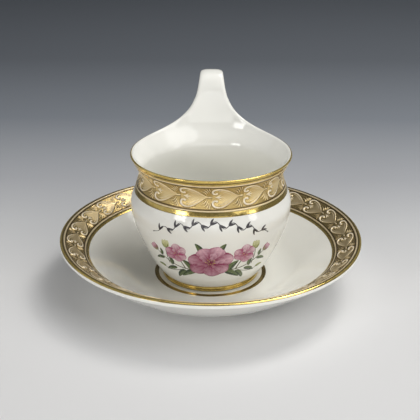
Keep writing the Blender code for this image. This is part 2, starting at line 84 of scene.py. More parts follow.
# Tongue and strap handle
TONGUE_SPREAD = 0.0240
TONGUE_FALL = 0.0076
TONGUE_SOFTNESS = 4.0
TONGUE_THICKNESS = 0.0026
STRAP_WIDTH = 0.0112
STRAP_THICKNESS = 0.0040
STRAP_ROUNDNESS = 3.0
LANDING_WIDTH = 0.0136
LANDING_THICKNESS = 0.0080
LANDING_FLARE = 0.0050
LANDING_FILLET = 0.0024
LANDING_SINK = 0.00001
LANDING_TAIL = 0.3
LANDING_SLOPE = 0.28
LANDING_DROP = 0.0015
CREST_RISE = 0.0098
CREST_BACK = 0.0090
HANDLE_REACH = 0.0230
HANDLE_DROP = 0.0170
ARC_PULL = 0.55

# Saucer
SAUCER_RADIUS = 0.0750
SAUCER_HEIGHT = 0.0270
SAUCER_FLOOR = 0.0054
SAUCER_KNEE = 0.0410
SAUCER_KNEE_BLEND = 0.0070
SAUCER_UNDER_KNEE = 0.0465
SAUCER_RIM_ROUND = 0.0013
SAUCER_FOOT_RADIUS = 0.0383
SAUCER_FOOT_WIDTH = 0.0036
SAUCER_FOOT_HEIGHT = 0.0022
SAUCER_FOOT_ROUND = 0.0006
SAUCER_SLOPE = math.atan2(
    SAUCER_HEIGHT - SAUCER_RIM_ROUND - SAUCER_FLOOR, SAUCER_RADIUS - SAUCER_RIM_ROUND - SAUCER_KNEE
)

# Gilding: places of the lines and bands, and how far they stand out of the glaze
RIM_LINE_BOTTOM = 0.0605
RIM_LINE_WRAP = 2.0
NECK_BAND_BOTTOM = 0.0474
NECK_LINE_BOTTOM = 0.0452
FOOT_LINE_BOTTOM = 0.0002
FOOT_LINE_TOP = 0.0030
WELL_LINE_INNER = 0.0262
WELL_LINE_WIDTH = 0.0021
SAUCER_BAND_WIDTH = 0.0125
SAUCER_LINE_WIDTH = 0.0018
SAUCER_RIM_WRAP = 0.0020
GILT_LIFT = 0.00004
GILT_CROWN = 0.00006
GILT_DEPTH = 0.00020
RIM_CREST = 0.36
RIM_GROOVE = 0.12
RIM_GROOVE_DEPTH = 0.00006

# Painted dark reflection on the lines, from 0 for bright to 1 for dark: along their edges, and over their
# width
EDGE_DARK_REFLECTION = 0.75
EDGE_WIDTH = 0.16
WELL_DARK_REFLECTION = 0.85
NECK_DARK_REFLECTION = 0.45
DARK_REFLECTION_PLACES = (0.40, 0.62)
# Painted dark reflection over the outer and the inner half of the saucer's rim line and band line
SAUCER_RIM_DARK_REFLECTIONS = (0.0, 0.85)
SAUCER_LINE_DARK_REFLECTIONS = (0.8, 0.35)

# Etched bands: repeats of the heart, and sizes of the relief, in metres or as shares of its height
CUP_REPEATS = 15
CUP_PHASE = 0.5
SAUCER_REPEATS = 29
SAUCER_PHASE = 0.1
BAND_STEP = 0.00020
BAND_LIFT = 0.00018
RELIEF_HEIGHT = 0.00040
RIDGE_POWER = 0.6
BEAD_WIDTH = 0.0008
BEAD_HEIGHT = 0.00014
BEAD_TONE = 0.60
GROOVE_WIDTH = 0.0006
GROOVE_DEPTH = 0.18
GROUND_TONE = 0.12
# Cut beside the strokes: deepens the relief and paints shade into its tone
CARVING_AND_SHADE = 0.45
CARVING_REACH = 0.00040
CARVING_TURNS = 12
HEART_FLOOR = 0.22
CURL_FLOOR = 0.35
HATCH_HEIGHT = 0.16
HATCH_PITCH = 0.0011
HATCH_START = 0.25
HATCH_FADE = 0.15

# Strokes of half a heart: curve knots in shares of one repeat and of the clear width, radii and heights
HEART_SIDE = (
    ((0.170, 0.160), (0.130, 0.120), (0.050, 0.140), (0.040, 0.225)),
    ((0.040, 0.225), (0.032, 0.325), (0.110, 0.390), (0.225, 0.390)),
    ((0.225, 0.390), (0.400, 0.390), (0.560, 0.250), (0.700, 0.125)),
    ((0.700, 0.125), (0.760, 0.070), (0.810, 0.030), (0.900, 0.006)),
)
SIDE_PLACES = (0.0, 0.12, 0.32, 0.55, 0.80, 1.0)
SIDE_RADII = (0.00044, 0.00048, 0.00056, 0.00038, 0.00021, 0.00013)
SIDE_RIDGE = 1.0
CURL_RADIUS = 0.00062
CURL_RIDGE = 1.05
INNER_LINE = ((0.225, 0.290), (0.360, 0.290), (0.480, 0.190), (0.610, 0.090))
INNER_LINE_RADIUS = 0.00020
INNER_LINE_RIDGE = 0.62
HEART_LEAVES = (
    (0.00050, 0.90, (0.120, 0.000), (0.190, 0.000), (0.260, 0.000), (0.380, 0.000)),
    (0.00030, 0.75, (0.180, 0.020), (0.230, 0.050), (0.270, 0.080), (0.330, 0.130)),
    (0.00036, 0.80, (0.900, 0.000), (0.930, 0.000), (0.960, 0.000), (1.030, 0.000)),
)
LEAF_SWELL = (0.12, 0.95)
BARBS = 4
BARB_RADIUS = 0.00024
BARB_RIDGE = 0.62
BARB_ROOT = (0.860, 0.075)
BARB_ROOT_STEP = (0.040, 0.060)
BARB_TIP = (0.640, 0.270)
BARB_TIP_STEP = 0.105
BARB_FAN = 0.190
BARB_FAN_STEP = 0.42
BARB_FAN_START = 0.10
BARB_BOW = (0.050, 0.045)

# Painted decoration: places and sizes in the painter's plane, and thickness of the enamel
PAINT_LIFT = 0.00003
PAINT_LAYER = 0.0000008
PAINT_CROWN = 0.00005
SPRAY_HEIGHT = 0.0200
TENDRIL_HEIGHT = 0.0422
TENDRIL_LENGTH = 0.0590
TENDRIL_WAVE = 0.0084
TENDRIL_RISE = 0.0016
TENDRIL_ARCH = 0.0078
TENDRIL_STROKE = 0.00020
TENDRIL_SWELL = 0.25
TENDRIL_END = 0.15
TENDRIL_LEANS = (0.35, 1.15)
TENDRIL_LEAF = (0.0034, 0.0010)
TENDRIL_LEAF_BOW = 0.0002
GOLDEN_ANGLE = math.pi * (3 - math.sqrt(5))

# Petals and leaves: their outline, then the strength of each part of their paint
TIP_SHARES = (0.02, 0.985)
TIP_BLUNTNESS = 0.6
STEM_TAPER = 0.55
SLIM = 0.8
PETAL_FULLNESS = 1.5
PETAL_WOBBLE = 0.08
WOBBLE_TURNS = 5
PETAL_BOW = 0.0004
BOW_TURNS = 3
RING_TWIST = 90
PETAL_SHADE = 0.24
PETAL_LIGHT = math.radians(55)
PETAL_BASE = 1.05
PETAL_ROOT = 1.2
PETAL_RIM = 0.40
PETAL_RIM_START = 0.84
PETAL_EDGE = 0.50
PETAL_SIDE = 0.40
STREAK = 0.22
STREAK_PITCH = 12
STREAK_SHIFT = 5
STREAK_FADE = 0.6
LEAF_WIDTH = 0.40
LEAF_BOW = 0.10
LEAF_FULLNESS = 0.72
LEAF_HALF = 0.75
LEAF_FOLD = 5
VEIN = 0.18
VEIN_PITCH = 34
VEIN_SLANT = 9
RIB = 0.5
RIB_WIDTH = 0.16

# Colours of the enamel
PINK_DEEP = (0.25, 0.006, 0.070)
PINK_PALE = (0.86, 0.56, 0.65)
BLUSH_DEEP = (0.40, 0.06, 0.16)
BLUSH_PALE = (0.83, 0.66, 0.69)
CREAM_DEEP = (0.42, 0.42, 0.12)
CREAM_PALE = (0.72, 0.71, 0.44)
LEAF_DARK = (0.035, 0.060, 0.026)
LEAF_MID = (0.10, 0.14, 0.05)
LEAF_LIGHT = (0.16, 0.21, 0.08)
LEAF_PALE = (0.42, 0.46, 0.16)
STEM = (0.10, 0.10, 0.045)
STAMEN = (0.66, 0.50, 0.10)
STAMEN_DARK = (0.22, 0.06, 0.06)
INK = (0.012, 0.011, 0.013)
INK_PALE = (0.10, 0.09, 0.10)

# Garland, whose left half mirrors its right: stems as a width and knots, leaves as a root, an angle and a
# length, buds as a root, an angle and two colours, rings of petals as a count, length, width, start and tone
SPRAY_STEMS = (
    (0.0006, (0.0020, -0.0020), (0.0100, -0.0070), (0.0190, -0.0040), (0.0275, 0.0040)),
    (0.0004, (0.0130, -0.0052), (0.0180, -0.0080), (0.0210, -0.0085), (0.0235, -0.0068)),
    (0.0005, (0.0120, -0.0045), (0.0140, 0.0000), (0.0160, 0.0030), (0.0165, 0.0045)),
    (0.0004, (0.0205, -0.0028), (0.0220, 0.0020), (0.0225, 0.0050), (0.0222, 0.0075)),
)
SPRAY_LEAVES = (
    ((0.0065, -0.0050), -38, 0.0088),
    ((0.0085, -0.0048), 52, 0.0080),
    ((0.0120, -0.0056), -62, 0.0072),
    ((0.0165, -0.0050), -30, 0.0064),
    ((0.0190, -0.0036), 72, 0.0058),
    ((0.0235, 0.0000), -22, 0.0056),
    ((0.0250, 0.0015), 80, 0.0046),
    ((0.0040, 0.0065), 64, 0.0074),
)
PALE_LEAF = ((0.0235, -0.0068), 10, 0.0044)
SPRAY_BUDS = (
    ((0.0275, 0.0040), 42, PINK_DEEP, PINK_PALE),
    ((0.0222, 0.0075), 84, CREAM_DEEP, CREAM_PALE),
)
BUD_SPREADS = (-0.30, 0.30, 0.0)
BUD_PETAL = (0.0050, 0.0026)
SEPAL_SPREADS = (-0.55, 0.55, 0.05)
SEPAL = (0.0030, 0.0013)
SEPAL_FULLNESS = 0.7
SIDE_FLOWER = (0.0165, 0.0052)
SIDE_RINGS = ((6, 0.0054, 0.0050, 0.0004, 1.0), (5, 0.0031, 0.0029, 0.0001, 0.85))
SIDE_TURN = 0.4
SIDE_STAMENS = (0.0011, 7)
MAIN_FLOWER = (0.0, 0.0015)
MAIN_RINGS = (
    (7, 0.0094, 0.0088, 0.0012, 1.0),
    (6, 0.0060, 0.0062, 0.0009, 0.85),
    (5, 0.0042, 0.0040, 0.0001, 0.70),
)
MAIN_TURN = 0.15
MAIN_STAMENS = (0.0020, 18)
STAMEN_SIZE = (0.0007, 0.0006)
DARK_STAMEN_EVERY = 3

# Materials: noise as a scale and a detail, roughness as a range, and colours at places of a ramp
NOISE_RANGE = (0.3, 0.7)
GLAZE = ((0.30, (0.845, 0.840, 0.790)), (0.70, (0.875, 0.870, 0.820)))
GLAZE_CLOUDS = (26, 3)
GLAZE_GRAIN = (140, 2)
GLAZE_ROUGHNESS = (0.06, 0.11)
GLAZE_WAVES = (60, 2)
GLAZE_BUMP = 0.00012
GOLD = ((0.25, (0.62, 0.44, 0.11)), (0.50, (0.79, 0.59, 0.18)), (0.75, (0.86, 0.68, 0.25)))
GOLD_METAL = 0.78
GOLD_WEAR = (420, 4)
GOLD_GRAIN = (700, 3)
GOLD_ROUGHNESS = (0.11, 0.22)
GOLD_WAVES = (900, 2)
GOLD_BUMP = 0.00003
# Colour of the painted dark reflection that the gold lines show of dark surroundings
DARK_REFLECTION_COLOUR = (0.15, 0.105, 0.035)
# Share of metal and colours of the cuts (painted shade beside the strokes), the ground and the hearts, for
# the cup's band and for the saucer's: the cup's is a paler, lit copy and the saucer's a darker, shaded copy
# of one gilding
LIT_MATT_GOLD = (0.58, (0.09, 0.052, 0.015), (0.62, 0.45, 0.17), (0.78, 0.61, 0.31))
SHADED_GOLD = (0.85, (0.12, 0.075, 0.025), (0.50, 0.37, 0.155), (0.68, 0.53, 0.29))
SCROLL_GOLD = (0.82, 0.70, 0.49)
SCROLL_CREAM = (0.92, 0.83, 0.69)
SCROLL_METAL = 0.15
ETCH_TONES = (0.00, 0.14, 0.38, 0.65, 0.95)
ETCH_METAL_TONES = (0.42, 0.80)
ETCH_ROUGH_TONES = (0.12, 0.45)
ETCH_ROUGHNESS = (0.25, 0.40)
ETCH_WAVES = (2600, 2)
ETCH_BUMP = 0.00008
ENAMEL_SHADES = ((0.3, (0.80, 0.80, 0.80)), (0.7, (1.0, 1.0, 1.0)))
ENAMEL_SPECKS = (1500, 3)
ENAMEL_GRAIN = (500, 2)
ENAMEL_ROUGHNESS = (0.16, 0.30)

# Mesh fineness
SEAM_COLUMNS = 8
FLANK_COLUMNS = 176
BACK_CROWDING = 0.45
TURNS = 192
CUP_FLOOR_STEPS = 4
CUP_FILLET_STEPS = 12
CUP_WALL_STEPS = 24
CUP_SIDE_STEPS = 56
LIP_RISE_STEPS = 16
LIP_STEPS = 8
FOOT_STEPS = 4
FOOT_RECESS_STEPS = 3
STRAP_CURVE_STEPS = 60
STRAP_STEPS = 96
LANDING_STEPS = 16
SAUCER_FLOOR_STEPS = 8
SAUCER_KNEE_STEPS = 14
SAUCER_WALL_STEPS = 16
SAUCER_RIM_STEPS = 12
SAUCER_UNDER_STEPS = 30
LINE_STEPS = 16
LINE_SHARE = np.linspace(0, 1, LINE_STEPS + 1)
LINE_BACK_EVERY = 2
RIM_LINE_STEPS = 36
BAND_BACK_EVERY = 4
BAND_PROFILE_STEPS = 60
STROKE_STEPS = 16
PAINT_PROFILE_STEPS = 80
RIBBON_ROWS = 10
RIBBON_COLUMNS = 10
STEM_STEPS = 20
TENDRIL_STEPS = 150
HALVINGS = 40
SMALL_TURN = 0.01
SEAM_REACH = 0.001
NEAR_ZERO = 1e-9

# Camera, lamps and floor
CAMERA_PLACE = (-0.0004, -0.4082, 0.2158)
CAMERA_PITCH = 23.47
CAMERA_ROLL = 0.35
CAMERA_LENS = 76.85
CAMERA_SENSOR = 36.0
AIM = Vector((0, 0, 0.05))
# Name, place, width, height, power and colour
LAMPS = (
    ("key", (0.35, 0.20, 1.00), 0.40, 0.40, 2.4, (1.0, 0.98, 0.94)),
    ("back_key", (0.45, 0.30, 0.85), 0.30, 0.30, 1.8, (1.0, 0.98, 0.94)),
    ("ceiling", (0.10, 0.00, 1.20), 0.80, 0.80, 1.9, (1.0, 1.0, 1.0)),
    ("right_softbox", (0.80, -0.50, 0.95), 1.00, 1.00, 7.0, (1.0, 1.0, 1.0)),
    ("low_screen", (0.00, -1.40, 0.27), 1.80, 0.50, 6.0, (1.0, 1.0, 1.0)),
    ("left_side", (-1.10, -0.10, 0.50), 1.20, 0.60, 1.4, (0.98, 0.99, 1.0)),
    ("left_window", (-0.66, -0.70, 0.42), 0.27, 0.27, 2.1, (1.0, 0.99, 0.97)),
    ("right_window", (0.87, -0.48, 0.30), 0.22, 0.22, 0.8, (1.0, 0.99, 0.97)),
)
WORLD_COLOUR = (0.97, 0.98, 1.0)
WORLD_STRENGTH = 0.03
BACKDROP = (0.110, 0.118, 0.132)
FLOOR_SIZE = 4.0
FLOOR_FADE = 0.75
FLOOR_FAR = (0.80, 1.80)
FLOOR_ROUGHNESS = 0.9
FLOOR_GLOSS = 0.1
# Distance behind the cup, and the floor's colour there: painted fall-off of the light, pale in front and grey
# behind
FLOOR_FALLOFF_TONES = (
    (0.00, (0.75, 0.75, 0.755)),
    (0.07, (0.62, 0.63, 0.645)),
    (0.14, (0.445, 0.457, 0.485)),
    (0.27, (0.237, 0.258, 0.291)),
    (0.46, (0.146, 0.161, 0.184)),
    (0.75, (0.136, 0.151, 0.173)),
)


# Helpers


def steps(start, end, count):
    """Values from start to end in count equal steps."""
    return np.linspace(start, end, count + 1)


def turns(count):
    """The angles of count equal parts of a full turn."""
    return np.arange(count) * 2 * math.pi / count


def unit(vectors):
    """Vectors brought to length one."""
    return vectors / np.linalg.norm(vectors, axis=-1, keepdims=True)


def smooth(share):
    """Shares from 0 to 1 with a soft start and end."""
    return share**2 * (3 - 2 * share)


def heading(angle):
    """The direction at an angle in the plane."""
    return np.array((math.cos(angle), math.sin(angle)))


def run_lengths(points):
    """Lengths along a line up to each of its points."""
    return np.concatenate([[0], np.cumsum(np.linalg.norm(np.diff(points, axis=0), axis=1))])


def arc(centre, radius, start, end, count):
    """Points of an arc between two angles in degrees."""
    return [centre + radius * heading(angle) for angle in np.radians(steps(start, end, count))]


def bezier(first, handle_out, handle_in, last, count):
    """Points of a cubic curve in the plane."""
    knots = [Vector((*knot, 0)) for knot in (first, handle_out, handle_in, last)]
    return np.array([point[:2] for point in interpolate_bezier(*knots, count + 1)])


def bend(first, corner, last, count):
    """Points of a smooth bend that leans towards a corner."""
    first, corner, last = np.array(first), np.array(corner), np.array(last)
    return bezier(first, first + (corner - first) * 2 / 3, last + (corner - last) * 2 / 3, last, count)


def around(azimuth, radius, height):
    """Points at an azimuth, a radius and a height."""
    azimuth, radius, height = np.broadcast_arrays(azimuth, radius, height)
    return np.stack([radius * np.sin(azimuth), radius * np.cos(azimuth), height], axis=-1)


def add_piece(name, mesh, material, body, slot, *nodes):
    """Link a finished mesh as a smooth piece that rides on a body and stands for CAD nodes."""
    mesh.shade_smooth()
    mesh.materials.append(material)
    piece = bpy.data.objects.new(name, mesh)
    bpy.context.scene.collection.objects.link(piece)
    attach(piece, body)
    if nodes:
        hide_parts(*nodes)


def finish_mesh(bm, mesh):
    """Write a bmesh to a mesh, with its faces turned outward."""
    bmesh.ops.recalc_face_normals(bm, faces=bm.faces)
    bm.to_mesh(mesh)
    bm.free()
    return mesh


def solid_mesh(name, points, faces):
    """A mesh from points and faces, with its faces turned outward."""
    mesh = bpy.data.meshes.new(name)
    mesh.from_pydata(points, [], faces)
    bm = bmesh.new()
    bm.from_mesh(mesh)
    return finish_mesh(bm, mesh)


def ring_mesh(name, points, **values):
    """A ring from points[row][column], closed both ways, with named values for its points."""
    rows, columns = points.shape[:2]
    index = np.arange(rows * columns).reshape(rows, columns)
    below = np.roll(index, -1, axis=0)
    corners = [index, np.roll(index, -1, axis=1), np.roll(below, -1, axis=1), below]
    mesh = solid_mesh(name, points.reshape(-1, 3), np.stack(corners, axis=-1).reshape(-1, 4))
    for label, value in values.items():
        value = np.broadcast_to(value, (rows, columns)).ravel()
        mesh.attributes.new(label, "FLOAT", "POINT").data.foreach_set("value", value)
    return mesh


def turned_ring(name, section, **values):
    """A ring turned round Z from a closed section of (radius, height) points, with named values for them."""
    values = {label: np.reshape(value, (-1, 1)) for label, value in values.items()}
    return ring_mesh(name, around(turns(TURNS), section[:, :1], section[:, 1:]), **values)


def turned_dish(name, section):
    """A solid turned round Z from a section that starts and ends on the axis."""
    bm = bmesh.new()
    points = around(turns(TURNS), section[1:-1, :1], section[1:-1, 1:])
    rows = [[bm.verts.new(point) for point in row] for row in points]
    for row, following in zip(rows, rows[1:]):
        quads(bm, row + row[:1], following + following[:1])
    fan(bm, rows[0], section[0][1])
    fan(bm, rows[-1], section[-1][1])
    return finish_mesh(bm, bpy.data.meshes.new(name))


def quads(bm, row, following):
    """Fill between two rows of vertices with quads."""
    for i in range(len(row) - 1):
        bm.faces.new((row[i], row[i + 1], following[i + 1], following[i]))


def fan(bm, ring, height):
    """Fill a ring of vertices with triangles that meet on the axis at a height."""
    middle = bm.verts.new((0, 0, height))
    for one, other in zip(ring, ring[1:] + ring[:1]):
        bm.faces.new((middle, one, other))


# Cup surface


def outside(height):
    """Radius and outward slope of the cup's outside at heights: a cubic between two stations."""
    height = np.asarray(height, dtype=float)
    place = np.clip(np.searchsorted(CUP_STATIONS[:, 0], height) - 1, 0, len(CUP_STATIONS) - 2)
    low, high = CUP_STATIONS[place], CUP_STATIONS[place + 1]
    span = high[..., 0] - low[..., 0]
    t = (height - low[..., 0]) / span
    radius = (
        low[..., 1] * (1 - 3 * t**2 + 2 * t**3)
        + high[..., 1] * (3 * t**2 - 2 * t**3)
        + span * low[..., 2] * (t - 2 * t**2 + t**3)
        + span * high[..., 2] * (t**3 - t**2)
    )
    slope = (
        (high[..., 1] - low[..., 1]) / span * (6 * t - 6 * t**2)
        + low[..., 2] * (1 - 4 * t + 3 * t**2)
        + high[..., 2] * (3 * t**2 - 2 * t)
    )
    return radius, slope


def outside_run(start, end, count):
    """Heights from start to end, and the lengths along the cup's outside up to them."""
    heights = steps(start, end, count)
    return heights, run_lengths(np.stack([outside(heights)[0], heights], axis=-1))


def wall(height):
    """Wall thickness: even to the belly, thinner at the waist and the lip, thicker again up the tongue."""
    places = np.array((BELLY_HEIGHT, WAIST_HEIGHT, LIP_HEIGHT, SEAM_HEIGHT))
    thickness = np.array((CUP_WALL, NECK_THICKNESS, LIP_THICKNESS, TONGUE_THICKNESS))
    level = np.clip(height, places[0], places[-1])
    low = np.clip(np.searchsorted(places, level) - 1, 0, len(places) - 2)
    share = (level - places[low]) / (places[low + 1] - places[low])
    return thickness[low] + (thickness[low + 1] - thickness[low]) * smooth(share)


def inside(height):
    """Radius of the inner wall at heights."""
    radius, slope = outside(height)
    return radius - wall(height) * np.hypot(1, slope)


def raised(height, lift):
    """Radius and height of the outside at heights, raised square to it."""
    radius, slope = outside(height)
    length = np.hypot(1, slope)
    return radius + lift / length, height - lift * slope / length


def tongue_half_width(height):
    """Half the tongue's width at heights above the lip's edge line."""
    growth = np.expm1(TONGUE_SOFTNESS * np.maximum(height - LIP_EDGE, NEAR_ZERO) / TONGUE_FALL)
    return STRAP_WIDTH / 2 - TONGUE_THICKNESS / 2 + TONGUE_SPREAD / growth ** (1 / TONGUE_SOFTNESS)


SEAM_ANGLE = math.asin(tongue_half_width(SEAM_HEIGHT) / SEAM_RADIUS)


def edge_height(azimuth):
    """Height of the lip's edge line at azimuths: level in front, rising to the seam at the back."""
    azimuth = np.asarray(azimuth, dtype=float)
    low, high = np.full(azimuth.shape, LIP_EDGE), np.full(azimuth.shape, SEAM_HEIGHT)
    for _ in range(HALVINGS):
        middle = (low + high) / 2
        past = outside(middle)[0] * abs(np.sin(azimuth)) > tongue_half_width(middle)
        low, high = np.where(past, low, middle), np.where(past, middle, high)
    share = np.clip((np.cos(azimuth) + LIP_RISE_BLEND) / (2 * LIP_RISE_BLEND), 0, 1)
    risen = LIP_EDGE + (low - LIP_EDGE) * smooth(share)
    on_top = (np.cos(azimuth) > 0) & (abs(np.sin(azimuth)) <= math.sin(SEAM_ANGLE))
    return np.where(on_top, SEAM_HEIGHT, risen)


def edge_middle(azimuth):
    """The middle of the wall on the lip's edge line."""
    height = edge_height(azimuth)
    return around(azimuth, (outside(height)[0] + inside(height)) / 2, height)


def edge_direction(azimuth):
    """The way the lip's round edge bulges: along the wall and square to the edge line."""
    along = edge_middle(azimuth + SMALL_TURN) - edge_middle(azimuth - SMALL_TURN)
    outward = around(azimuth, 1.0, -outside(edge_height(azimuth))[1])
    upward = np.cross(along, outward)
    upward = unit(upward * np.where(upward[..., 2:] < 0, -1, 1))
    sideways = around(azimuth + np.copysign(math.pi / 2, np.sin(azimuth)), 1.0, 0.0)
    on_seam = abs(abs(np.angle(np.exp(1j * azimuth))) - SEAM_ANGLE) < SEAM_REACH
    return np.where(on_seam[..., None], sideways, upward)


# Porcelain


def bowl_columns():
    """Azimuths of the bowl's upright columns: the seam's own, then round the cup, closer at the back."""
    seam = SEAM_ANGLE * steps(-1, 1, 2 * SEAM_COLUMNS)
    share = steps(0, 1, FLANK_COLUMNS)[1:-1]
    eased = share - BACK_CROWDING * np.sin(2 * math.pi * share) / (2 * math.pi)
    return np.concatenate([seam, SEAM_ANGLE + (2 * math.pi - 2 * SEAM_ANGLE) * eased])


def bowl_inside(azimuth):
    """Rows of points up the inside, from beside the floor's centre to the lip's edge line."""
    start = CUP_FLOOR + CUP_INNER_FILLET
    end = (inside(start), start)
    corner = (inside(start) - outside(start)[1] * CUP_INNER_FILLET, CUP_FLOOR)
    flat = [(radius, CUP_FLOOR) for radius in steps(0, CUP_FLOOR_FLAT, CUP_FLOOR_STEPS)[1:-1]]
    fillet = bend((CUP_FLOOR_FLAT, CUP_FLOOR), corner, end, CUP_FILLET_STEPS)
    heights = steps(start, WAIST_HEIGHT, CUP_WALL_STEPS)[1:]
    fixed = np.concatenate([flat, fillet, np.stack([inside(heights), heights], axis=-1)])
    shares = steps(0, 1, LIP_RISE_STEPS)[1:, None]
    rising = WAIST_HEIGHT + (edge_height(azimuth) - WAIST_HEIGHT) * shares
    return np.concatenate(
        [around(azimuth, fixed[:, :1], fixed[:, 1:]), around(azimuth, inside(rising), rising)]
    )


def bowl_lip(azimuth):
    """Rows of points over the round lip, from the inner to the outer wall, without the walls themselves."""
    height = edge_height(azimuth)
    inner = around(azimuth, inside(height), height)
    outer = around(azimuth, outside(height)[0], height)
    middle = (inner + outer) / 2
    bulge = edge_direction(azimuth) * wall(height)[:, None] / 2
    angles = steps(0, math.pi, LIP_STEPS)[1:-1]
    return np.array([middle + (inner - middle) * math.cos(a) + bulge * math.sin(a) for a in angles])


def bowl_outside(azimuth):
    """Rows of points down the outside, from the lip's edge line to beside the middle of the foot."""
    top = edge_height(azimuth)
    falling = top + (RIM_LINE_BOTTOM - top) * steps(0, 1, LIP_RISE_STEPS)[:-1, None]
    heights = steps(RIM_LINE_BOTTOM, CUP_FOOT_HEIGHT, CUP_SIDE_STEPS)
    inner_foot = CUP_FOOT_RADIUS - CUP_FOOT_WIDTH
    rounding = CUP_FOOT_ROUND
    foot = [
        *arc((CUP_FOOT_RADIUS - rounding, rounding), rounding, 0, -90, FOOT_STEPS),
        *arc((inner_foot + rounding, rounding), rounding, -90, -180, FOOT_STEPS),
        *arc((inner_foot - rounding, CUP_FOOT_RECESS - rounding), rounding, 0, 90, FOOT_RECESS_STEPS),
        (inner_foot / 2, CUP_FOOT_RECESS),
    ]
    fixed = np.concatenate([np.stack([outside(heights)[0], heights], axis=-1), foot])
    return np.concatenate(
        [around(azimuth, outside(falling)[0], falling), around(azimuth, fixed[:, :1], fixed[:, 1:])]
    )


def strap_path():
    """Centre line of the strap in the (y, z) plane, from the seam to the belly, and the lengths along it."""
    root = np.array(((SEAM_RADIUS + inside(SEAM_HEIGHT)) / 2, SEAM_HEIGHT))
    crest = root + (CREST_BACK, CREST_RISE)
    back = np.array((BELLY_RADIUS + HANDLE_REACH, crest[1] - HANDLE_DROP))
    landing = np.array((BELLY_RADIUS, BELLY_HEIGHT - LANDING_DROP))
    rise = np.array((SEAM_SLOPE, 1)) * CREST_RISE * ARC_PULL
    level = np.array((CREST_BACK * ARC_PULL, 0))
    over = np.array(((back - crest)[0] * ARC_PULL, 0))
    drop = np.array((0, HANDLE_DROP * ARC_PULL))
    fall = np.array((0, (back - landing)[1] * ARC_PULL))
    inward = np.array((1, LANDING_SLOPE)) * HANDLE_REACH * ARC_PULL
    fine = np.concatenate(
        [
            bezier(root, root + rise, crest - level, crest, STRAP_CURVE_STEPS)[:-1],
            bezier(crest, crest + over, back + drop, back, STRAP_CURVE_STEPS)[:-1],
            bezier(back, back - fall, landing + inward, landing, STRAP_CURVE_STEPS),
        ]
    )
    lengths = run_lengths(fine)
    places = steps(0, lengths[-1], STRAP_STEPS)
    path = np.stack([np.interp(places, lengths, fine[:, i]) for i in (0, 1)], axis=-1)
    return path, places


def strap_rings(root_ring):
    """Rings along the strap that start from the seam's own ring and end a fillet's height off the belly."""
    path, places = strap_path()
    sideways = root_ring[:, 0]
    offset = root_ring[:, 1] - path[0][0]
    widest = abs(sideways).argmax()
    across = sideways / abs(sideways[widest])
    round_depth = (1 - abs(across) ** STRAP_ROUNDNESS).clip(0) ** 0.5
    face = np.sign(root_ring[:, 1] - root_ring[widest, 1])
    rings = []
    for point, direction, place in zip(path, unit(np.gradient(path, axis=0)), places):
        left = places[-1] - place
        if place == 0 or left < LANDING_FILLET:
            continue
        from_root = math.exp(-place / TONGUE_FALL)
        to_belly = math.exp(-left / LANDING_FLARE)
        square = min(place / LANDING_FLARE, 1)
        normal = unit(np.array((1, 0)) * (1 - square) + np.array((direction[1], -direction[0])) * square)
        half_width = (STRAP_WIDTH + (LANDING_WIDTH - STRAP_WIDTH) * to_belly) / 2
        half_depth = (STRAP_THICKNESS + (LANDING_THICKNESS - STRAP_THICKNESS) * to_belly) / 2
        x = sideways * from_root + across * half_width * (1 - from_root)
        depth = offset * from_root + face * round_depth * half_depth * (1 - from_root)
        rings.append(np.stack([x, point[0] + normal[0] * depth, point[1] + normal[1] * depth], axis=-1))
    return rings


def landing_rings(ring, previous):
    """Rings of the fillet that spreads the strap's end onto the belly and runs out just under the glaze.

    They are drawn in lengths round the belly, heights and lifts off it.
    """
    azimuth = np.arctan2(ring[:, 0], ring[:, 1])
    lift = np.hypot(ring[:, 0], ring[:, 1]) - outside(ring[:, 2])[0]
    start = np.stack([azimuth * BELLY_RADIUS, ring[:, 2], lift], axis=-1)
    fall = (ring - previous)[:, 2] / np.linalg.norm((ring - previous)[:, :2], axis=1)
    foot = start + np.stack([0 * lift, fall * lift, -lift], axis=-1)
    middle = foot.mean(axis=0)
    size = abs(foot - middle).max(axis=0)[:2]
    spread = unit((foot - middle)[:, :2] / size**2) * LANDING_FILLET
    spread = np.concatenate([spread, np.zeros((len(ring), 1))], axis=1)
    end = foot + spread - (0, 0, LANDING_SINK)
    hidden = end + (spread - (0, 0, LANDING_FILLET)) * LANDING_TAIL
    shares = steps(0, 1, LANDING_STEPS)[1:]
    curve = [start * (1 - t) ** 2 + foot * 2 * t * (1 - t) + end * t**2 for t in shares]
    return [around(x / BELLY_RADIUS, *raised(z, lift)) for x, z, lift in np.swapaxes((*curve, hidden), 1, 2)]


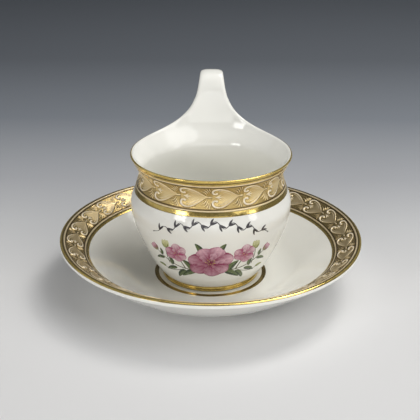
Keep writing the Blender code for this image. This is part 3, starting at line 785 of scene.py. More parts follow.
def build_cup_porcelain(material):
    """Bowl, tongue and strap as one smooth skin."""
    bm = bmesh.new()
    azimuth = bowl_columns()
    seam_end = 2 * SEAM_COLUMNS

    def upright(rows):
        return [[bm.verts.new(point) for point in column] for column in rows.swapaxes(0, 1)]

    inner, lip, outer = (upright(rows(azimuth)) for rows in (bowl_inside, bowl_lip, bowl_outside))
    for column in range(len(azimuth)):
        beside = (column + 1) % len(azimuth)
        quads(bm, inner[column], inner[beside])
        quads(bm, outer[column], outer[beside])
        if column >= seam_end:
            quads(bm, *([inner[c][-1], *lip[c], outer[c][0]] for c in (column, beside)))
    for column in lip[1:seam_end]:
        for vertex in column:
            bm.verts.remove(vertex)
    fan(bm, [column[0] for column in inner], CUP_FLOOR)
    fan(bm, [column[-1] for column in outer], CUP_FOOT_RECESS)
    ring = [column[0] for column in outer[: seam_end + 1]]
    ring += lip[seam_end][::-1]
    ring += [column[-1] for column in inner[seam_end::-1]]
    ring += lip[0]
    strap = strap_rings(np.array([vertex.co for vertex in ring]))
    for points in strap + landing_rings(strap[-1], strap[-2]):
        following = [bm.verts.new(point) for point in points]
        quads(bm, ring + ring[:1], following + following[:1])
        ring = following
    bm.faces.new(ring)
    bmesh.ops.translate(bm, verts=bm.verts, vec=(0, 0, CUP_SEAT))
    mesh = finish_mesh(bm, bpy.data.meshes.new("cup_porcelain"))
    add_piece("cup_porcelain", mesh, material, "cup", "porcelain", "cup_bowl", "cup_handle")


def saucer_wall(distance, lift):
    """Radius and height at a distance from the rim down the upper face, or outward over the round rim."""
    distance = np.asarray(distance, dtype=float)
    turn = SAUCER_SLOPE + math.pi / 2 + np.minimum(distance, 0) / SAUCER_RIM_ROUND
    slide = np.maximum(distance, 0)
    reach = SAUCER_RIM_ROUND + lift
    radius = SAUCER_RADIUS - SAUCER_RIM_ROUND + reach * np.cos(turn) - slide * math.cos(SAUCER_SLOPE)
    height = SAUCER_HEIGHT - SAUCER_RIM_ROUND + reach * np.sin(turn) - slide * math.sin(SAUCER_SLOPE)
    return np.stack([radius, height], axis=-1)


def build_saucer_porcelain(material):
    """The dish: flat floor, soft knee, straight wall, round rim, and a foot ring underneath."""
    corner = np.array((SAUCER_KNEE - SAUCER_RIM_ROUND / math.sin(SAUCER_SLOPE), SAUCER_FLOOR))
    wall_low = corner + heading(SAUCER_SLOPE) * SAUCER_KNEE_BLEND
    floor_end = corner - (SAUCER_KNEE_BLEND, 0)
    floor = [(radius, SAUCER_FLOOR) for radius in steps(0, floor_end[0], SAUCER_FLOOR_STEPS)[:-1]]
    knee = bend(floor_end, corner, wall_low, SAUCER_KNEE_STEPS)
    face = wall_low + (saucer_wall(0, 0) - wall_low) * steps(0, 1, SAUCER_WALL_STEPS)[1:, None]
    rim = saucer_wall(steps(0, -SAUCER_RIM_ROUND * math.pi, SAUCER_RIM_STEPS)[1:], 0)
    rounding = SAUCER_FOOT_ROUND
    foot_top = (SAUCER_FOOT_RADIUS + rounding, SAUCER_FOOT_HEIGHT)
    inner_foot = SAUCER_FOOT_RADIUS - SAUCER_FOOT_WIDTH
    foot = [
        *bend(rim[-1], (SAUCER_UNDER_KNEE, SAUCER_FOOT_HEIGHT), foot_top, SAUCER_UNDER_STEPS)[1:],
        *arc((foot_top[0], SAUCER_FOOT_HEIGHT - rounding), rounding, 90, 180, FOOT_STEPS)[1:],
        *arc((SAUCER_FOOT_RADIUS - rounding, rounding), rounding, 0, -90, FOOT_STEPS),
        *arc((inner_foot + rounding, rounding), rounding, -90, -180, FOOT_STEPS),
        *arc((inner_foot - rounding, SAUCER_FOOT_HEIGHT - rounding), rounding, 0, 90, FOOT_STEPS),
        (inner_foot / 2, SAUCER_FOOT_HEIGHT),
        (0, SAUCER_FOOT_HEIGHT),
    ]
    mesh = turned_dish("saucer_porcelain", np.concatenate([floor, knee, face, rim, foot]))
    add_piece("saucer_porcelain", mesh, material, "saucer", "porcelain", "saucer_dish")


# Gilding


def gilt_lift(share):
    """How far a gold line stands out of the glaze, for shares of its width: a low round crown."""
    return GILT_LIFT + GILT_CROWN * np.sqrt(np.clip(1 - (2 * share - 1) ** 2, 0, 1))


def add_line(name, body, face, back, material, patina=0):
    """A turned gold line from the sections of its face and its back, with a painted dark reflection along its
    two edges.
    """
    # Painted dark reflection along both edges, as a round line shows of dark surroundings; the hidden back is
    # dark all over
    to_edge = np.minimum(LINE_SHARE, 1 - LINE_SHARE)
    edges = EDGE_DARK_REFLECTION * np.exp(-((to_edge / EDGE_WIDTH) ** 2))
    dark = np.concatenate([np.maximum(edges, patina), np.ones(len(back))])
    mesh = turned_ring(name, np.concatenate([face, back]), patina=dark)
    add_piece(name + "_gilt", mesh, material, body, "bright_gold", name)


def build_saucer_line(name, start, end, patinas, material):
    """A gold line on the saucer between two distances from the rim, with a painted dark reflection for each
    half.
    """
    places = start + (end - start) * LINE_SHARE
    face = saucer_wall(places, gilt_lift(LINE_SHARE))
    back = saucer_wall(places[::-LINE_BACK_EVERY], -GILT_DEPTH)
    add_line(name, "saucer", face, back, material, np.interp(LINE_SHARE, DARK_REFLECTION_PLACES, patinas))


def build_well_line(material):
    """The gold ring on the saucer's floor round the foot of the cup, painted dark as a reflection of the
    cup's shaded underside.
    """
    radius = WELL_LINE_INNER + WELL_LINE_WIDTH * LINE_SHARE
    face = np.stack([radius, SAUCER_FLOOR + gilt_lift(LINE_SHARE)], axis=-1)
    back = face[::-LINE_BACK_EVERY] * (1, 0) + (0, SAUCER_FLOOR - GILT_DEPTH)
    add_line("saucer_well_line", "saucer", face, back, material, WELL_DARK_REFLECTION)


def build_foot_line(material):
    """The gold ring round the foot of the cup."""
    height = FOOT_LINE_BOTTOM + (FOOT_LINE_TOP - FOOT_LINE_BOTTOM) * LINE_SHARE
    radius = outside(np.maximum(height, CUP_FOOT_HEIGHT))[0]
    face = np.stack([radius + gilt_lift(LINE_SHARE), height + CUP_SEAT], axis=-1)
    back = face[::-LINE_BACK_EVERY] - (GILT_LIFT + GILT_DEPTH, 0)
    add_line("cup_foot_line", "cup", face, back, material)


def cup_section(heights, lift):
    """Points (radius, height) on the cup's outside, raised by a lift, in the frame's heights."""
    radius, level = np.broadcast_arrays(*raised(heights, lift))
    return np.stack([radius, level + CUP_SEAT], axis=-1)


def build_neck_line(material):
    """The gold line under the etched band of the cup, partly darkened as a painted reflection of dark
    surroundings.
    """
    heights = NECK_LINE_BOTTOM + (NECK_BAND_BOTTOM - NECK_LINE_BOTTOM) * LINE_SHARE
    face = cup_section(heights, gilt_lift(LINE_SHARE))
    back = cup_section(heights[::-LINE_BACK_EVERY], -GILT_DEPTH)
    add_line("cup_neck_line", "cup", face, back, material, NECK_DARK_REFLECTION)


def build_rim_line(material):
    """The gold line under the lip: over the lip's edge in front, low on the wall behind the tongue."""
    azimuth = turns(TURNS)
    share = steps(0, 1, RIM_LINE_STEPS)
    edge = edge_height(azimuth)
    middle = edge_middle(azimuth)
    upward = edge_direction(azimuth)
    outward = around(azimuth, outside(edge)[0], edge) - middle
    half = np.linalg.norm(outward, axis=-1)
    lean = np.hypot(1, outside(LIP_EDGE)[1])
    to_edge = (edge - RIM_LINE_BOTTOM) * lean
    length = (LIP_EDGE - RIM_LINE_BOTTOM) * lean + LIP_THICKNESS / 2 * RIM_LINE_WRAP
    # A shallow groove along the line, painted dark as the reflection of dark surroundings that the lip shows
    # there
    groove = np.exp(-(((share - RIM_CREST) / RIM_GROOVE) ** 2))
    face, back = [], []
    for way, lift in zip(length * share, gilt_lift(share) - RIM_GROOVE_DEPTH * groove):
        turn = np.maximum(way - to_edge, 0) / half
        over = outward * np.cos(turn)[:, None] + upward * (half * np.sin(turn))[:, None]
        for row, amount in ((face, lift), (back, -GILT_DEPTH)):
            on_wall = around(azimuth, *raised(RIM_LINE_BOTTOM + np.minimum(way, to_edge) / lean, amount))
            on_lip = middle + over * (1 + amount / half)[:, None]
            row.append(np.where((turn > 0)[:, None], on_lip, on_wall))
    points = np.array(face + back[::-LINE_BACK_EVERY]) + (0, 0, CUP_SEAT)
    patina = np.concatenate([groove, np.ones(len(points) - len(groove))])
    mesh = ring_mesh("cup_rim_line", points, patina=patina[:, None])
    add_piece("cup_rim_line_gilt", mesh, material, "cup", "bright_gold", "cup_rim_line")


# Etched bands: a running chain of heart scrolls


def heart_strokes(pitch, clear):
    """Strokes of one heart that points along the band, on one side of its middle line.

    Each stroke has points, radii and a height. The first is the heart's outline, from its curl to its point.
    """
    def curve(*knots):
        return bezier(*(np.array(knot) * (pitch, clear) for knot in knots), STROKE_STEPS)

    def leaf(radius, height, *knots):
        return curve(*knots), radius * np.sin(math.pi * steps(*LEAF_SWELL, STROKE_STEPS)), height

    curves = [curve(*knots) for knots in HEART_SIDE]
    side = np.concatenate([points[:-1] for points in curves] + [curves[-1][-1:]])
    radii = np.interp(steps(0, 1, len(side) - 1), SIDE_PLACES, SIDE_RADII)
    inner_line = curve(*INNER_LINE)
    strokes = [
        (side, radii, SIDE_RIDGE),
        (side[:2], np.full(2, CURL_RADIUS), CURL_RIDGE),
        (inner_line, np.full(len(inner_line), INNER_LINE_RADIUS), INNER_LINE_RIDGE),
    ]
    strokes += [leaf(*values) for values in HEART_LEAVES]
    for k in range(BARBS):
        root = np.array(BARB_ROOT) + np.array(BARB_ROOT_STEP) * k
        fan_out = BARB_FAN * math.sin(BARB_FAN_STEP * k + BARB_FAN_START)
        tip = (BARB_TIP[0] + BARB_TIP_STEP * k, BARB_TIP[1] + fan_out)
        bow = (root[0] - BARB_BOW[0], (root[1] + tip[1]) / 2 + BARB_BOW[1])
        strokes.append(leaf(BARB_RADIUS, BARB_RIDGE, root, bow, bow, tip))
    return strokes


def stroke_field(along, across, points, radii, height):
    """Relief of one stroke at points of the band: a round ridge along its line, lower where it is thin."""
    field = np.zeros(along.shape)
    for (x0, y0), (x1, y1), r0, r1 in zip(points, points[1:], radii, radii[1:]):
        reach = max(r0, r1)
        near = (
            (along > min(x0, x1) - reach) & (along < max(x0, x1) + reach)
            & (across > min(y0, y1) - reach) & (across < max(y0, y1) + reach)
        )
        if not near.any():
            continue
        dx, dy = x1 - x0, y1 - y0
        px, py = along[near] - x0, across[near] - y0
        t = np.clip((px * dx + py * dy) / max(dx * dx + dy * dy, NEAR_ZERO**2), 0, 1)
        radius = r0 + (r1 - r0) * t
        gap = np.hypot(px - t * dx, py - t * dy) / radius
        crest = height * np.sqrt(radius / max(radii))
        field[near] = np.maximum(field[near], crest * np.clip(1 - gap**2, 0, 1) ** RIDGE_POWER)
    return field


def carve_and_shade(relief):
    """The relief with its ground cut deeper beside the strokes; since the tone follows the relief, this also
    paints shade there.
    """
    reach = CARVING_REACH / BAND_STEP
    moves = [(round(reach * math.sin(turn)), round(reach * math.cos(turn))) for turn in turns(CARVING_TURNS)]
    nearby = sum(np.roll(relief, move, axis=(0, 1)) for move in moves) / CARVING_TURNS
    return relief - CARVING_AND_SHADE * np.maximum(nearby - relief, 0)


def heart_tile(pitch, clear, columns, across):
    """Relief of one repeat of the chain, on rows at distances across from the middle line."""
    along, across = np.meshgrid(steps(0, pitch, columns)[:-1], across)
    mirrored = abs(across)
    strokes = heart_strokes(pitch, clear)
    outline = strokes[0][0][STROKE_STEPS:]
    outline = outline[np.argsort(outline[:, 0])]
    relief = np.zeros(along.shape)
    for shift in (-pitch, 0, pitch):
        place = along + shift
        top = np.interp(place, *outline.T, left=-1, right=-1)
        slants = [np.cos(2 * math.pi * (place + turn * across) / HATCH_PITCH) for turn in (-1, 1)]
        hatch = HATCH_HEIGHT * (2 + sum(slants)) / 4
        spread = np.clip((place / pitch - HATCH_START) / HATCH_FADE, 0, 1)
        floor = HEART_FLOOR * (CURL_FLOOR + (1 - CURL_FLOOR) * spread) + hatch * spread
        relief = np.where(mirrored < top, np.maximum(relief, floor), relief)
        for points, radii, height in strokes:
            relief = np.maximum(relief, stroke_field(place, mirrored, points, radii, height))
    return carve_and_shade(relief)


def band_relief(pitch, repeats, length, reverse, phase):
    """Relief and tone over a whole band with its edge beads: values[row][column], and the rows' shares."""
    columns, rows = int(pitch / BAND_STEP), int(length / BAND_STEP)
    share = steps(0, 1, rows)
    across = (share - 0.5) * length
    tile = heart_tile(pitch, length - 2 * BEAD_WIDTH, columns, across)
    if reverse:
        tile = tile[:, ::-1]
    tile = np.roll(tile, round(phase * columns), axis=1)
    to_edge = length / 2 - abs(across)
    bead = np.sqrt(np.clip(1 - (2 * to_edge / BEAD_WIDTH - 1) ** 2, 0, 1)) * BEAD_HEIGHT / RELIEF_HEIGHT
    groove = np.exp(-((to_edge - BEAD_WIDTH - GROOVE_WIDTH / 2) / (GROOVE_WIDTH / 2)) ** 2)
    tile = tile - GROOVE_DEPTH * groove[:, None]
    on_bead = (to_edge < BEAD_WIDTH)[:, None]
    relief = np.where(on_bead, bead[:, None], tile)
    # The tone follows the relief, so the cuts beside the strokes and the grooves by the beads take painted
    # shade
    tone = np.where(on_bead, BEAD_TONE, GROUND_TONE + (1 - GROUND_TONE) * tile)
    return np.tile(relief, repeats), np.tile(tone, repeats), share


def build_etched_band(name, body, surface, radius, repeats, length, reverse, phase, material):
    """An etched gold band of a mean radius: surface(share, lift) gives (radius, height) across it."""
    relief, tone, share = band_relief(2 * math.pi * radius / repeats, repeats, length, reverse, phase)
    azimuth = turns(relief.shape[1])
    section = surface(share[:, None], BAND_LIFT + relief * RELIEF_HEIGHT)
    face = around(azimuth, section[..., 0], section[..., 1])
    under = surface(share[::-BAND_BACK_EVERY], -GILT_DEPTH)
    back = around(azimuth, under[:, :1], under[:, 1:])
    hidden = np.zeros(back.shape[:2])
    mesh = ring_mesh(name, np.concatenate([face, back]), tone=np.concatenate([tone, hidden]))
    add_piece(name + "_relief", mesh, material, body, "etched_gold", name)


def build_cup_band(material):
    """The band round the cup's neck."""
    heights, lengths = outside_run(NECK_BAND_BOTTOM, RIM_LINE_BOTTOM, BAND_PROFILE_STEPS)

    def surface(share, lift):
        return cup_section(np.interp(share, lengths / lengths[-1], heights), lift)

    radius = outside(heights)[0].mean()
    build_etched_band(
        "cup_scroll_band", "cup", surface, radius, CUP_REPEATS, lengths[-1], True, CUP_PHASE, material
    )


def build_saucer_band(material):
    """The band inside the saucer's rim."""
    def surface(share, lift):
        share, lift = np.broadcast_arrays(share, lift)
        return saucer_wall(share * SAUCER_BAND_WIDTH, lift)

    radius, length = surface(0.5, 0)[0], SAUCER_BAND_WIDTH
    build_etched_band(
        "saucer_scroll_band", "saucer", surface, radius, SAUCER_REPEATS, length, False, SAUCER_PHASE, material
    )


# Painted decoration: a garland of garden flowers and a fine tendril, in thin enamel on the belly


class Enamel:
    """Thin closed patches of paint on the front of the belly, gathered into one mesh.

    The painter's plane has x to the right and y up the belly's side, measured along the glaze from a middle.
    """

    def __init__(self, middle_height):
        self.heights, lengths = outside_run(CUP_FOOT_HEIGHT, NECK_LINE_BOTTOM, PAINT_PROFILE_STEPS)
        self.lengths = lengths - np.interp(middle_height, self.heights, lengths)
        self.points, self.faces, self.colours = [], [], []
        self.layer = 0

    def place(self, plane, lift):
        """Points on the belly for points of the plane, raised by a lift."""
        height = np.interp(plane[..., 1], self.lengths, self.heights)
        radius, level = raised(height, lift)
        return around(FRONT - plane[..., 0] / outside(height)[0], radius, level + CUP_SEAT)

    def patch(self, plane, colour, crown):
        """A patch from plane[row][column] points, with a colour for each, thickest in its middle."""
        rows, columns = plane.shape[:2]
        self.layer += 1
        across = 1 - np.linspace(-1, 1, columns) ** 2
        lift = PAINT_LIFT + PAINT_LAYER * self.layer + crown * np.broadcast_to(across, (rows, columns))
        front, back = self.place(plane, lift), self.place(plane, -PAINT_LIFT)
        index = len(self.points) + np.arange(rows * columns).reshape(rows, columns)
        deep = index + rows * columns
        self.points += [*front.reshape(-1, 3), *back.reshape(-1, 3)]
        self.colours += [*colour.reshape(-1, 3)] * 2
        for i in range(rows - 1):
            for j in range(columns - 1):
                self.faces.append((index[i, j], index[i, j + 1], index[i + 1, j + 1], index[i + 1, j]))
                self.faces.append((deep[i, j], deep[i + 1, j], deep[i + 1, j + 1], deep[i, j + 1]))
        edge = [*index[0], *index[1:, -1], *index[-1, -2::-1], *index[-2:0:-1, 0]]
        for one, other in zip(edge, edge[1:] + edge[:1]):
            self.faces.append((one, one + rows * columns, other + rows * columns, other))

    def ribbon(self, path, half_width, colour, crown=PAINT_CROWN):
        """A patch along a path, with a half width at each of its points and colour(along, across)."""
        along = unit(np.gradient(path, axis=0))
        sideways = np.stack([-along[:, 1], along[:, 0]], axis=-1)
        across = steps(-1, 1, RIBBON_COLUMNS)
        plane = path[:, None] + sideways[:, None] * (half_width[:, None] * across)[..., None]
        share = steps(0, 1, len(path) - 1)
        self.patch(plane, colour(*np.meshgrid(share, across, indexing="ij")), crown)

    def petal(self, root, angle, length, width, bow, fullness, colour):
        """A petal or leaf from its root: an angle, a sideways bow, and how near the tip it is widest."""
        share = steps(0, 1, RIBBON_ROWS)
        forward = heading(angle)
        sideways = np.array((-forward[1], forward[0]))
        path = root + length * share[:, None] * forward + bow * np.sin(math.pi * share)[:, None] * sideways
        swell = np.sin(math.pi * np.clip(share, *TIP_SHARES) ** fullness) ** TIP_BLUNTNESS
        self.ribbon(path, width / 2 * swell, colour)

    def stem(self, knots, width):
        """A stem along a curve, thinner at its end."""
        path = bezier(*knots, STEM_STEPS)
        self.ribbon(path, width / 2 * np.linspace(1, STEM_TAPER, len(path)), plain_paint(STEM))

    def mesh(self, name):
        """All patches as one mesh, with their colours as a value of its points."""
        mesh = solid_mesh(name, self.points, self.faces)
        colours = np.concatenate([self.colours, np.ones((len(self.colours), 1))], axis=1)
        mesh.attributes.new("paint", "FLOAT_COLOR", "POINT").data.foreach_set("color", colours.ravel())
        return mesh


def blend_colours(first, second, share):
    """Colours between two, for an array of shares."""
    share = np.clip(share, 0, 1)[..., None]
    return np.array(first) * (1 - share) + np.array(second) * share


def plain_paint(colour):
    """Paint of one colour."""
    return lambda along, across: blend_colours(colour, colour, along)


def petal_paint(deep, pale, turn):
    """Paint of a petal: deep at the root, the rim and the edges, most on its upper side, with streaks."""
    def colour(along, across):
        root = PETAL_ROOT * np.clip(1 - along, 0, 1)
        rim = PETAL_RIM * np.clip((along - PETAL_RIM_START) / (1 - PETAL_RIM_START), 0, 1) ** 2
        edge = PETAL_EDGE * across**4
        side = PETAL_SIDE * np.clip(across * math.cos(turn), 0, 1)
        streaks = STREAK * np.sin(across * STREAK_PITCH + turn * STREAK_SHIFT) * (1 - STREAK_FADE * along)
        return blend_colours(deep, pale, PETAL_BASE - root - rim - edge - side + streaks)

    return colour


def leaf_paint(dark, light):
    """Paint of a leaf: a light half, a dark half, a pale midrib and slanting veins."""
    def colour(along, across):
        half = LEAF_HALF * (1 + np.tanh(across * LEAF_FOLD)) / 2
        veins = VEIN * np.sin(along * VEIN_PITCH - abs(across) * VEIN_SLANT)
        rib = RIB * np.exp(-((across / RIB_WIDTH) ** 2))
        return blend_colours(dark, light, half + veins + rib)

    return colour


def paint_leaf(enamel, root, angle, length, dark=LEAF_DARK, light=LEAF_LIGHT):
    """A leaf that bows upward."""
    bow = math.copysign(length * LEAF_BOW, math.cos(angle))
    enamel.petal(root, angle, length, length * LEAF_WIDTH, bow, LEAF_FULLNESS, leaf_paint(dark, light))


def paint_blossom(enamel, middle, rings, deep, pale, turn):
    """An open flower of rings of petals, lit from one side."""
    for count, length, width, start, tone in rings:
        for angle in turn + turns(count) + start * RING_TWIST:
            wobble = 1 + PETAL_WOBBLE * math.sin(WOBBLE_TURNS * angle + count)
            lit = tone * (1 - PETAL_SHADE + PETAL_SHADE * math.cos(angle - PETAL_LIGHT))
            paint = petal_paint(np.array(deep) * tone, blend_colours(deep, pale, np.array(lit)), angle)
            root = middle + start * heading(angle)
            bow = PETAL_BOW * math.sin(BOW_TURNS * angle)
            enamel.petal(root, angle, length * wobble, width, bow, PETAL_FULLNESS, paint)


def paint_stamens(enamel, middle, radius, count):
    """Small dots spread evenly over a disc."""
    for k in range(count):
        angle = k * GOLDEN_ANGLE
        place = middle + radius * math.sqrt((k + 0.5) / count) * heading(angle)
        tone = STAMEN if k % DARK_STAMEN_EVERY else STAMEN_DARK
        enamel.petal(place, angle, *STAMEN_SIZE, 0, SLIM, plain_paint(tone))


def paint_bud(enamel, root, angle, deep, pale):
    """A closed bud of three petals in three sepals."""
    for spread in BUD_SPREADS:
        enamel.petal(root, angle + spread, *BUD_PETAL, 0, SLIM, petal_paint(deep, pale, angle))
    for spread in SEPAL_SPREADS:
        enamel.petal(root, angle + spread, *SEPAL, 0, SEPAL_FULLNESS, leaf_paint(LEAF_DARK, LEAF_PALE))


def paint_side(enamel, side):
    """One half of the garland, on the left for a side of -1 and on the right for 1."""
    def at(place):
        return np.array(place) * (side, 1)

    def turned(degrees):
        angle = math.radians(degrees)
        return angle if side > 0 else math.pi - angle

    for width, *knots in SPRAY_STEMS:
        enamel.stem([at(knot) for knot in knots], width)
    for root, degrees, length in SPRAY_LEAVES:
        paint_leaf(enamel, at(root), turned(degrees), length)
    root, degrees, length = PALE_LEAF
    paint_leaf(enamel, at(root), turned(degrees), length, LEAF_MID, LEAF_PALE)
    for root, degrees, deep, pale in SPRAY_BUDS:
        paint_bud(enamel, at(root), turned(degrees), deep, pale)
    paint_blossom(enamel, at(SIDE_FLOWER), SIDE_RINGS, BLUSH_DEEP, BLUSH_PALE, SIDE_TURN * side)
    paint_stamens(enamel, at(SIDE_FLOWER), *SIDE_STAMENS)


def paint_spray():
    """A shallow garland: one large open flower, two smaller ones, buds at the ends, and leaves between."""
    enamel = Enamel(SPRAY_HEIGHT)
    for side in (-1, 1):
        paint_side(enamel, side)
    paint_blossom(enamel, MAIN_FLOWER, MAIN_RINGS, PINK_DEEP, PINK_PALE, MAIN_TURN)
    paint_stamens(enamel, MAIN_FLOWER, *MAIN_STAMENS)
    return enamel


def paint_tendril():
    """A fine dark wave with small leaves, arched over the flowers."""
    enamel = Enamel(TENDRIL_HEIGHT)
    half = TENDRIL_LENGTH / 2

    def wave(x):
        fade = np.clip((half - abs(x)) / TENDRIL_WAVE, TENDRIL_END, 1)
        return TENDRIL_RISE * np.sin(2 * math.pi * x / TENDRIL_WAVE) * fade - TENDRIL_ARCH * (x / half) ** 2

    x = steps(-half, half, TENDRIL_STEPS)
    width = TENDRIL_STROKE * (1 - TENDRIL_SWELL + TENDRIL_SWELL * np.cos(4 * math.pi * x / TENDRIL_WAVE))
    enamel.ribbon(np.stack([x, wave(x)], axis=-1), width, plain_paint(INK), 0)
    for k in range(1, int(TENDRIL_LENGTH / TENDRIL_WAVE * 2)):
        place = -half + TENDRIL_WAVE / 2 * k
        root = np.array((place, wave(place)))
        up = 1 if k % 2 else -1
        slope = -2 * TENDRIL_ARCH * place / half**2
        for lean in TENDRIL_LEANS:
            bow = TENDRIL_LEAF_BOW * up
            enamel.petal(root, slope + up * lean, *TENDRIL_LEAF, bow, SLIM, leaf_paint(INK, INK_PALE))
    return enamel


def build_painting(material):
    """The garland and the tendril, on the cup."""
    for name, enamel in (("painted_spray", paint_spray()), ("painted_tendril", paint_tendril())):
        add_piece(name, enamel.mesh(name), material, "cup", "porcelain")


# Materials


class Nodes:
    """Short ways to add nodes to the tree of a material or of the world."""

    def __init__(self, tree):
        self.tree = tree

    def set(self, node, values):
        """Give inputs of a node a value, or a link from another node's output."""
        for name, value in values.items():
            if isinstance(value, bpy.types.NodeSocket):
                self.tree.links.new(value, node.inputs[name])
            else:
                node.inputs[name].default_value = value

    def add(self, kind, output, values=(), **settings):
        """Add a node with settings and input values, and give one of its outputs."""
        node = self.tree.nodes.new("ShaderNode" + kind)
        for name, setting in settings.items():
            setattr(node, name, setting)
        self.set(node, dict(values))
        return node.outputs[output]

    def noise(self, scale, detail):
        """A noise texture on the object's own coordinates."""
        place = self.add("TexCoord", "Object")
        return self.add("TexNoise", "Fac", {"Vector": place, "Scale": scale, "Detail": detail})

    def remap(self, value, from_range, to_range):
        """A value carried from one range to another."""
        ends = enumerate((*from_range, *to_range), 1)
        return self.add("MapRange", "Result", {"Value": value, **dict(ends)})

    def ramp(self, value, stops):
        """A colour ramp through (place, colour) stops."""
        node = self.tree.nodes.new("ShaderNodeValToRGB")
        elements = node.color_ramp.elements
        while len(elements) < len(stops):
            elements.new(1.0)
        for element, (place, colour) in zip(elements, stops):
            element.position = place
            element.color = (*colour, 1)
        self.set(node, {"Fac": value})
        return node.outputs["Color"]

    def bump(self, noise, distance):
        """A normal that is bent by a noise."""
        return self.add("Bump", "Normal", {"Height": self.noise(*noise), "Distance": distance})

    def seen(self):
        """A value of 1 for what the camera, a reflection or glass shows, and of 0 for other light."""
        rays = ("Is Camera Ray", "Is Glossy Ray", "Is Transmission Ray")
        camera, glossy, glass = (self.add("LightPath", ray) for ray in rays)
        either = self.add("Math", "Value", {0: camera, 1: glossy}, operation="MAXIMUM")
        return self.add("Math", "Value", {0: either, 1: glass}, operation="MAXIMUM")

    def show(self, share, first, second, output):
        """Mix two shaders and show them at an output node."""
        mix = self.add("MixShader", "Shader", {"Fac": share, 1: first, 2: second})
        self.tree.links.new(mix, self.tree.nodes[output].inputs["Surface"])


def new_material(name, look, *values):
    """A material whose shader takes the inputs that a look gives."""
    material = bpy.data.materials.new(name)
    material.use_nodes = True
    nodes = Nodes(material.node_tree)
    nodes.set(material.node_tree.nodes["Principled BSDF"], look(nodes, *values))
    return material


def glaze_look(nodes):
    """Warm white glaze, faintly clouded and wavy."""
    return {
        "Base Color": nodes.ramp(nodes.noise(*GLAZE_CLOUDS), GLAZE),
        "Roughness": nodes.remap(nodes.noise(*GLAZE_GRAIN), NOISE_RANGE, GLAZE_ROUGHNESS),
        "Normal": nodes.bump(GLAZE_WAVES, GLAZE_BUMP),
    }


def bright_gold_look(nodes):
    """Burnished gold, with a painted dark reflection mixed in by a value of its points."""
    gold = nodes.ramp(nodes.noise(*GOLD_WEAR), GOLD)
    patina = nodes.add("Attribute", "Fac", attribute_name="patina")
    darkened = {"Factor": patina, "A": gold, "B": (*DARK_REFLECTION_COLOUR, 1)}
    return {
        "Base Color": nodes.add("Mix", "Result", darkened, data_type="RGBA"),
        "Metallic": GOLD_METAL,
        "Roughness": nodes.remap(nodes.noise(*GOLD_GRAIN), NOISE_RANGE, GOLD_ROUGHNESS),
        "Normal": nodes.bump(GOLD_WAVES, GOLD_BUMP),
    }


def etched_gold_look(nodes, metal, *colours):
    """Gilding over a relief: a metal ground, duller, paler scrolls, and painted shade in the cuts, by the
    tone value.
    """
    tone = nodes.add("Attribute", "Fac", attribute_name="tone")
    return {
        "Base Color": nodes.ramp(tone, list(zip(ETCH_TONES, (*colours, SCROLL_GOLD, SCROLL_CREAM)))),
        "Metallic": nodes.remap(tone, ETCH_METAL_TONES, (metal, SCROLL_METAL)),
        "Roughness": nodes.remap(tone, ETCH_ROUGH_TONES, ETCH_ROUGHNESS),
        "Normal": nodes.bump(ETCH_WAVES, ETCH_BUMP),
    }


def enamel_look(nodes):
    """Paint in the colours of its points, faintly speckled."""
    paint = nodes.add("Attribute", "Color", attribute_name="paint")
    specks = nodes.ramp(nodes.noise(*ENAMEL_SPECKS), ENAMEL_SHADES)
    tint = {"Factor": 1, "A": paint, "B": specks}
    return {
        "Base Color": nodes.add("Mix", "Result", tint, data_type="RGBA", blend_type="MULTIPLY"),
        "Roughness": nodes.remap(nodes.noise(*ENAMEL_GRAIN), NOISE_RANGE, ENAMEL_ROUGHNESS),
    }


# Stage


def floor_look(nodes):
    """Paper painted pale in front and grey behind as the light's fall-off, which fades into the backdrop far
    off.
    """
    place = nodes.add("TexCoord", "Object")
    depth = nodes.remap(nodes.add("SeparateXYZ", "Y", {"Vector": place}), (0, FLOOR_FADE), (0, 1))
    falloff_tones = nodes.ramp(depth, [(distance / FLOOR_FADE, colour) for distance, colour in FLOOR_FALLOFF_TONES])
    distance = nodes.add("VectorMath", "Value", {0: place}, operation="LENGTH")
    far = {0: nodes.remap(distance, FLOOR_FAR, (0, 1)), 1: nodes.seen()}
    share = nodes.add("Math", "Value", far, operation="MULTIPLY")
    backdrop = nodes.add("Emission", "Emission", {"Color": (*BACKDROP, 1)})
    nodes.show(share, nodes.tree.nodes["Principled BSDF"].outputs["BSDF"], backdrop, "Material Output")
    return {"Base Color": falloff_tones, "Roughness": FLOOR_ROUGHNESS, "Specular IOR Level": FLOOR_GLOSS}


def build_floor():
    """A wide flat sheet under the saucer."""
    half = FLOOR_SIZE / 2
    mesh = bpy.data.meshes.new("floor")
    corners = [(-half, -half, 0), (half, -half, 0), (half, half, 0), (-half, half, 0)]
    mesh.from_pydata(corners, [], [(0, 1, 2, 3)])
    mesh.materials.append(new_material("paper_sweep", floor_look))
    floor = bpy.data.objects.new("floor", mesh)
    bpy.context.scene.collection.objects.link(floor)


def add_lamp(name, place, width, height, power, colour):
    """A soft lamp that looks at the middle of the cup."""
    lamp = bpy.data.lights.new(name, "AREA")
    lamp.shape = "RECTANGLE"
    lamp.size = width
    lamp.size_y = height
    lamp.energy = power
    lamp.color = colour
    holder = bpy.data.objects.new(name, lamp)
    holder.location = place
    holder.rotation_euler = (AIM - Vector(place)).to_track_quat("-Z", "Y").to_euler()
    bpy.context.scene.collection.objects.link(holder)


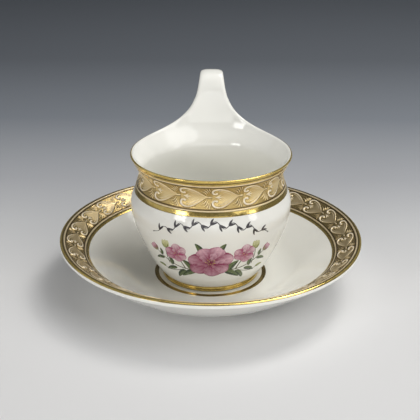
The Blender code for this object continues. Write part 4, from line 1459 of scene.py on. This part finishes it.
def build_world():
    """A faint even light, seen by the camera and in reflections as a grey backdrop."""
    world = bpy.data.worlds.new("studio")
    bpy.context.scene.world = world
    world.use_nodes = True
    nodes = Nodes(world.node_tree)
    light = world.node_tree.nodes["Background"]
    nodes.set(light, {"Color": (*WORLD_COLOUR, 1), "Strength": WORLD_STRENGTH})
    backdrop = nodes.add("Background", "Background", {"Color": (*BACKDROP, 1)})
    nodes.show(nodes.seen(), light.outputs["Background"], backdrop, "World Output")


def build_camera():
    """The camera, as fitted to the photograph."""
    data = bpy.data.cameras.new("camera")
    data.lens = CAMERA_LENS
    data.sensor_width = CAMERA_SENSOR
    camera = bpy.data.objects.new("camera", data)
    camera.location = CAMERA_PLACE
    tilt = Matrix.Rotation(math.radians(90 - CAMERA_PITCH), 3, "X")
    roll = Matrix.Rotation(math.radians(CAMERA_ROLL), 3, "Z")
    camera.rotation_euler = (tilt @ roll).to_euler()
    bpy.context.scene.collection.objects.link(camera)
    bpy.context.scene.camera = camera


def main():
    """Build the stage and all pieces."""
    bpy.context.scene.view_settings.view_transform = "Standard"
    build_camera()
    build_floor()
    build_world()
    for lamp in LAMPS:
        add_lamp(*lamp)
    porcelain = new_material("porcelain_glaze", glaze_look)
    build_cup_porcelain(porcelain)
    build_saucer_porcelain(porcelain)
    bright = new_material("burnished_gold", bright_gold_look)
    build_saucer_line("saucer_rim_line", -SAUCER_RIM_WRAP, 0, SAUCER_RIM_DARK_REFLECTIONS, bright)
    line_end = SAUCER_BAND_WIDTH + SAUCER_LINE_WIDTH
    build_saucer_line("saucer_band_line", SAUCER_BAND_WIDTH, line_end, SAUCER_LINE_DARK_REFLECTIONS, bright)
    build_well_line(bright)
    build_foot_line(bright)
    build_neck_line(bright)
    build_rim_line(bright)
    # The cup's band takes a paler, lit copy of the gilding and the saucer's band a darker, shaded copy
    build_cup_band(new_material("lit_matt_gold_relief", etched_gold_look, *LIT_MATT_GOLD))
    build_saucer_band(new_material("shaded_gold_relief", etched_gold_look, *SHADED_GOLD))
    build_painting(new_material("painted_enamel", enamel_look))


main()
